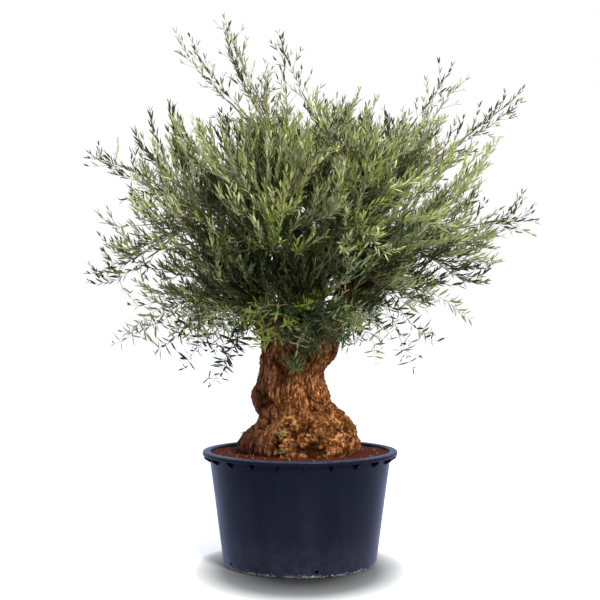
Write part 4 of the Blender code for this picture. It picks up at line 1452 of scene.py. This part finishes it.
pairs = []
for salt, way_round in ((10, 1.0), (20, -1.0)):
    lean = sums("ADD", chance(leaf_in["Least Lean"], leaf_in["Most Lean"], salt),
                on_point("splay"))
    this_side = arrows("SCALE", side, way_round)
    forward = arrows("SCALE", tip_way, sums("COSINE", lean))
    sideways = arrows("SCALE", this_side, sums("SINE", lean))
    stray = chance((-0.16, -0.16, -0.14), (0.16, 0.16, 0.18), salt + 1, "FLOAT_VECTOR")
    tilt = chance((-0.7, -0.7, -0.5), (0.7, 0.7, 0.5), salt + 2, "FLOAT_VECTOR")
    facing = all_added(arrows("SUBTRACT", tip_way, this_side), to_sky, tilt)
    stand = put(leafing, "FunctionNodeAxesToRotation",
                all_added(forward, sideways, stray, upturn), facing,
                primary_axis="X", secondary_axis="Z")
    length = sums("MULTIPLY", chance(leaf_in["Shortest"], leaf_in["Longest"], salt + 3),
                  size_share)
    width = sums("MULTIPLY", length, chance(0.85, 1.15, salt + 4))
    scale = put(leafing, "ShaderNodeCombineXYZ", length, width, length).outputs["Vector"]
    blade = put(leafing, "GeometryNodeObjectInfo", leaf_in["Leaf"]).outputs["Geometry"]
    copies = put(leafing, "GeometryNodeInstanceOnPoints")
    give_all(copies, {"Points": leaf_steps.outputs[0], "Selection": leafy, "Instance": blade,
                      "Rotation": stand.outputs[0], "Scale": scale})
    pairs.append(copies.outputs[0])

both = leafing.nodes.new("GeometryNodeJoinGeometry")
for instances in pairs:
    leafing.links.new(instances, both.inputs[0])
painted = put(leafing, "GeometryNodeRealizeInstances", both.outputs[0]).outputs[0]
is_under = sums("GREATER_THAN", on_point("under"), 0.5)
for number, finish in enumerate(upper_finishes):
    chosen = sums("COMPARE", on_point("tint"), float(number), 0.5)
    painted = put(leafing, "GeometryNodeSetMaterial", painted, chosen, finish).outputs[0]
for shaded, finish in zip(("LESS_THAN", "GREATER_THAN"), under_finishes):
    chosen = sums("MULTIPLY", is_under, sums(shaded, on_point("tint"), 0.5))
    painted = put(leafing, "GeometryNodeSetMaterial", painted, chosen, finish).outputs[0]
leafing.links.new(painted, leaf_out["Geometry"])

# %% [markdown]
# The crown holds nearly forty-eight thousand leaves, so it is dealt out into pieces by bearing and
# height. Each piece stands for the measured masses of its own part of the crown.

# %% Pieces of the crown
LEAF_VALUES = {"Leaf": leaf, "Shortest": 0.046, "Longest": 0.070, "Least Lean": math.radians(10),
               "Most Lean": math.radians(36), "To Sky": 0.5, "Upturn": 0.22, "Bare Foot": 0.06}
PART_NAMES = ("front_low", "front_high", "right_low", "right_high", "left_low", "left_high")
UPPER_HALF = 1.86


def part_of(place):
    """Front, right or left third of the crown, and its lower or upper half."""
    round_from_front = (math.degrees(math.atan2(place[0], -place[1])) + 60) % 360
    third = int(round_from_front // 120)
    return 2 * third + int(place[2] > UPPER_HALF)


parts_of_shoots = [part_of(spots[stem[len(stem) // 2]]) for stem in stems["shoot"]]
parts_of_masses = {name: part_of(read_points(cad[name].data).mean(0)) for name in mass_names}
leaf_total = 0
for part, part_name in enumerate(PART_NAMES):
    chosen = [i for i, where in enumerate(parts_of_shoots) if where == part]
    lines = stem_lines("lines", [stems["shoot"][i] for i in chosen], shoot_radii,
                       {note: [values[i] for i in chosen] for note, values in shoot_notes.items()})
    foliage = grown("leaves_" + part_name, lines, leafing, {**LEAF_VALUES, "Seed": SEED + part})
    put_away(lines)
    for layer in ("thick", "share", "under", *shoot_notes):
        if layer in foliage.data.attributes:
            foliage.data.attributes.remove(foliage.data.attributes[layer])
    stood_for = [name for name, where in parts_of_masses.items() if where == part]
    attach(foliage, "root")
    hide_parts(*stood_for)
    leaf_total += triangles(foliage) // len(leaf_faces)
    print(foliage.name, triangles(foliage), "triangles, for", len(stood_for), "masses")
put_away(leaf, limb_lines, shoot_lines)
print("leaves in all:", leaf_total)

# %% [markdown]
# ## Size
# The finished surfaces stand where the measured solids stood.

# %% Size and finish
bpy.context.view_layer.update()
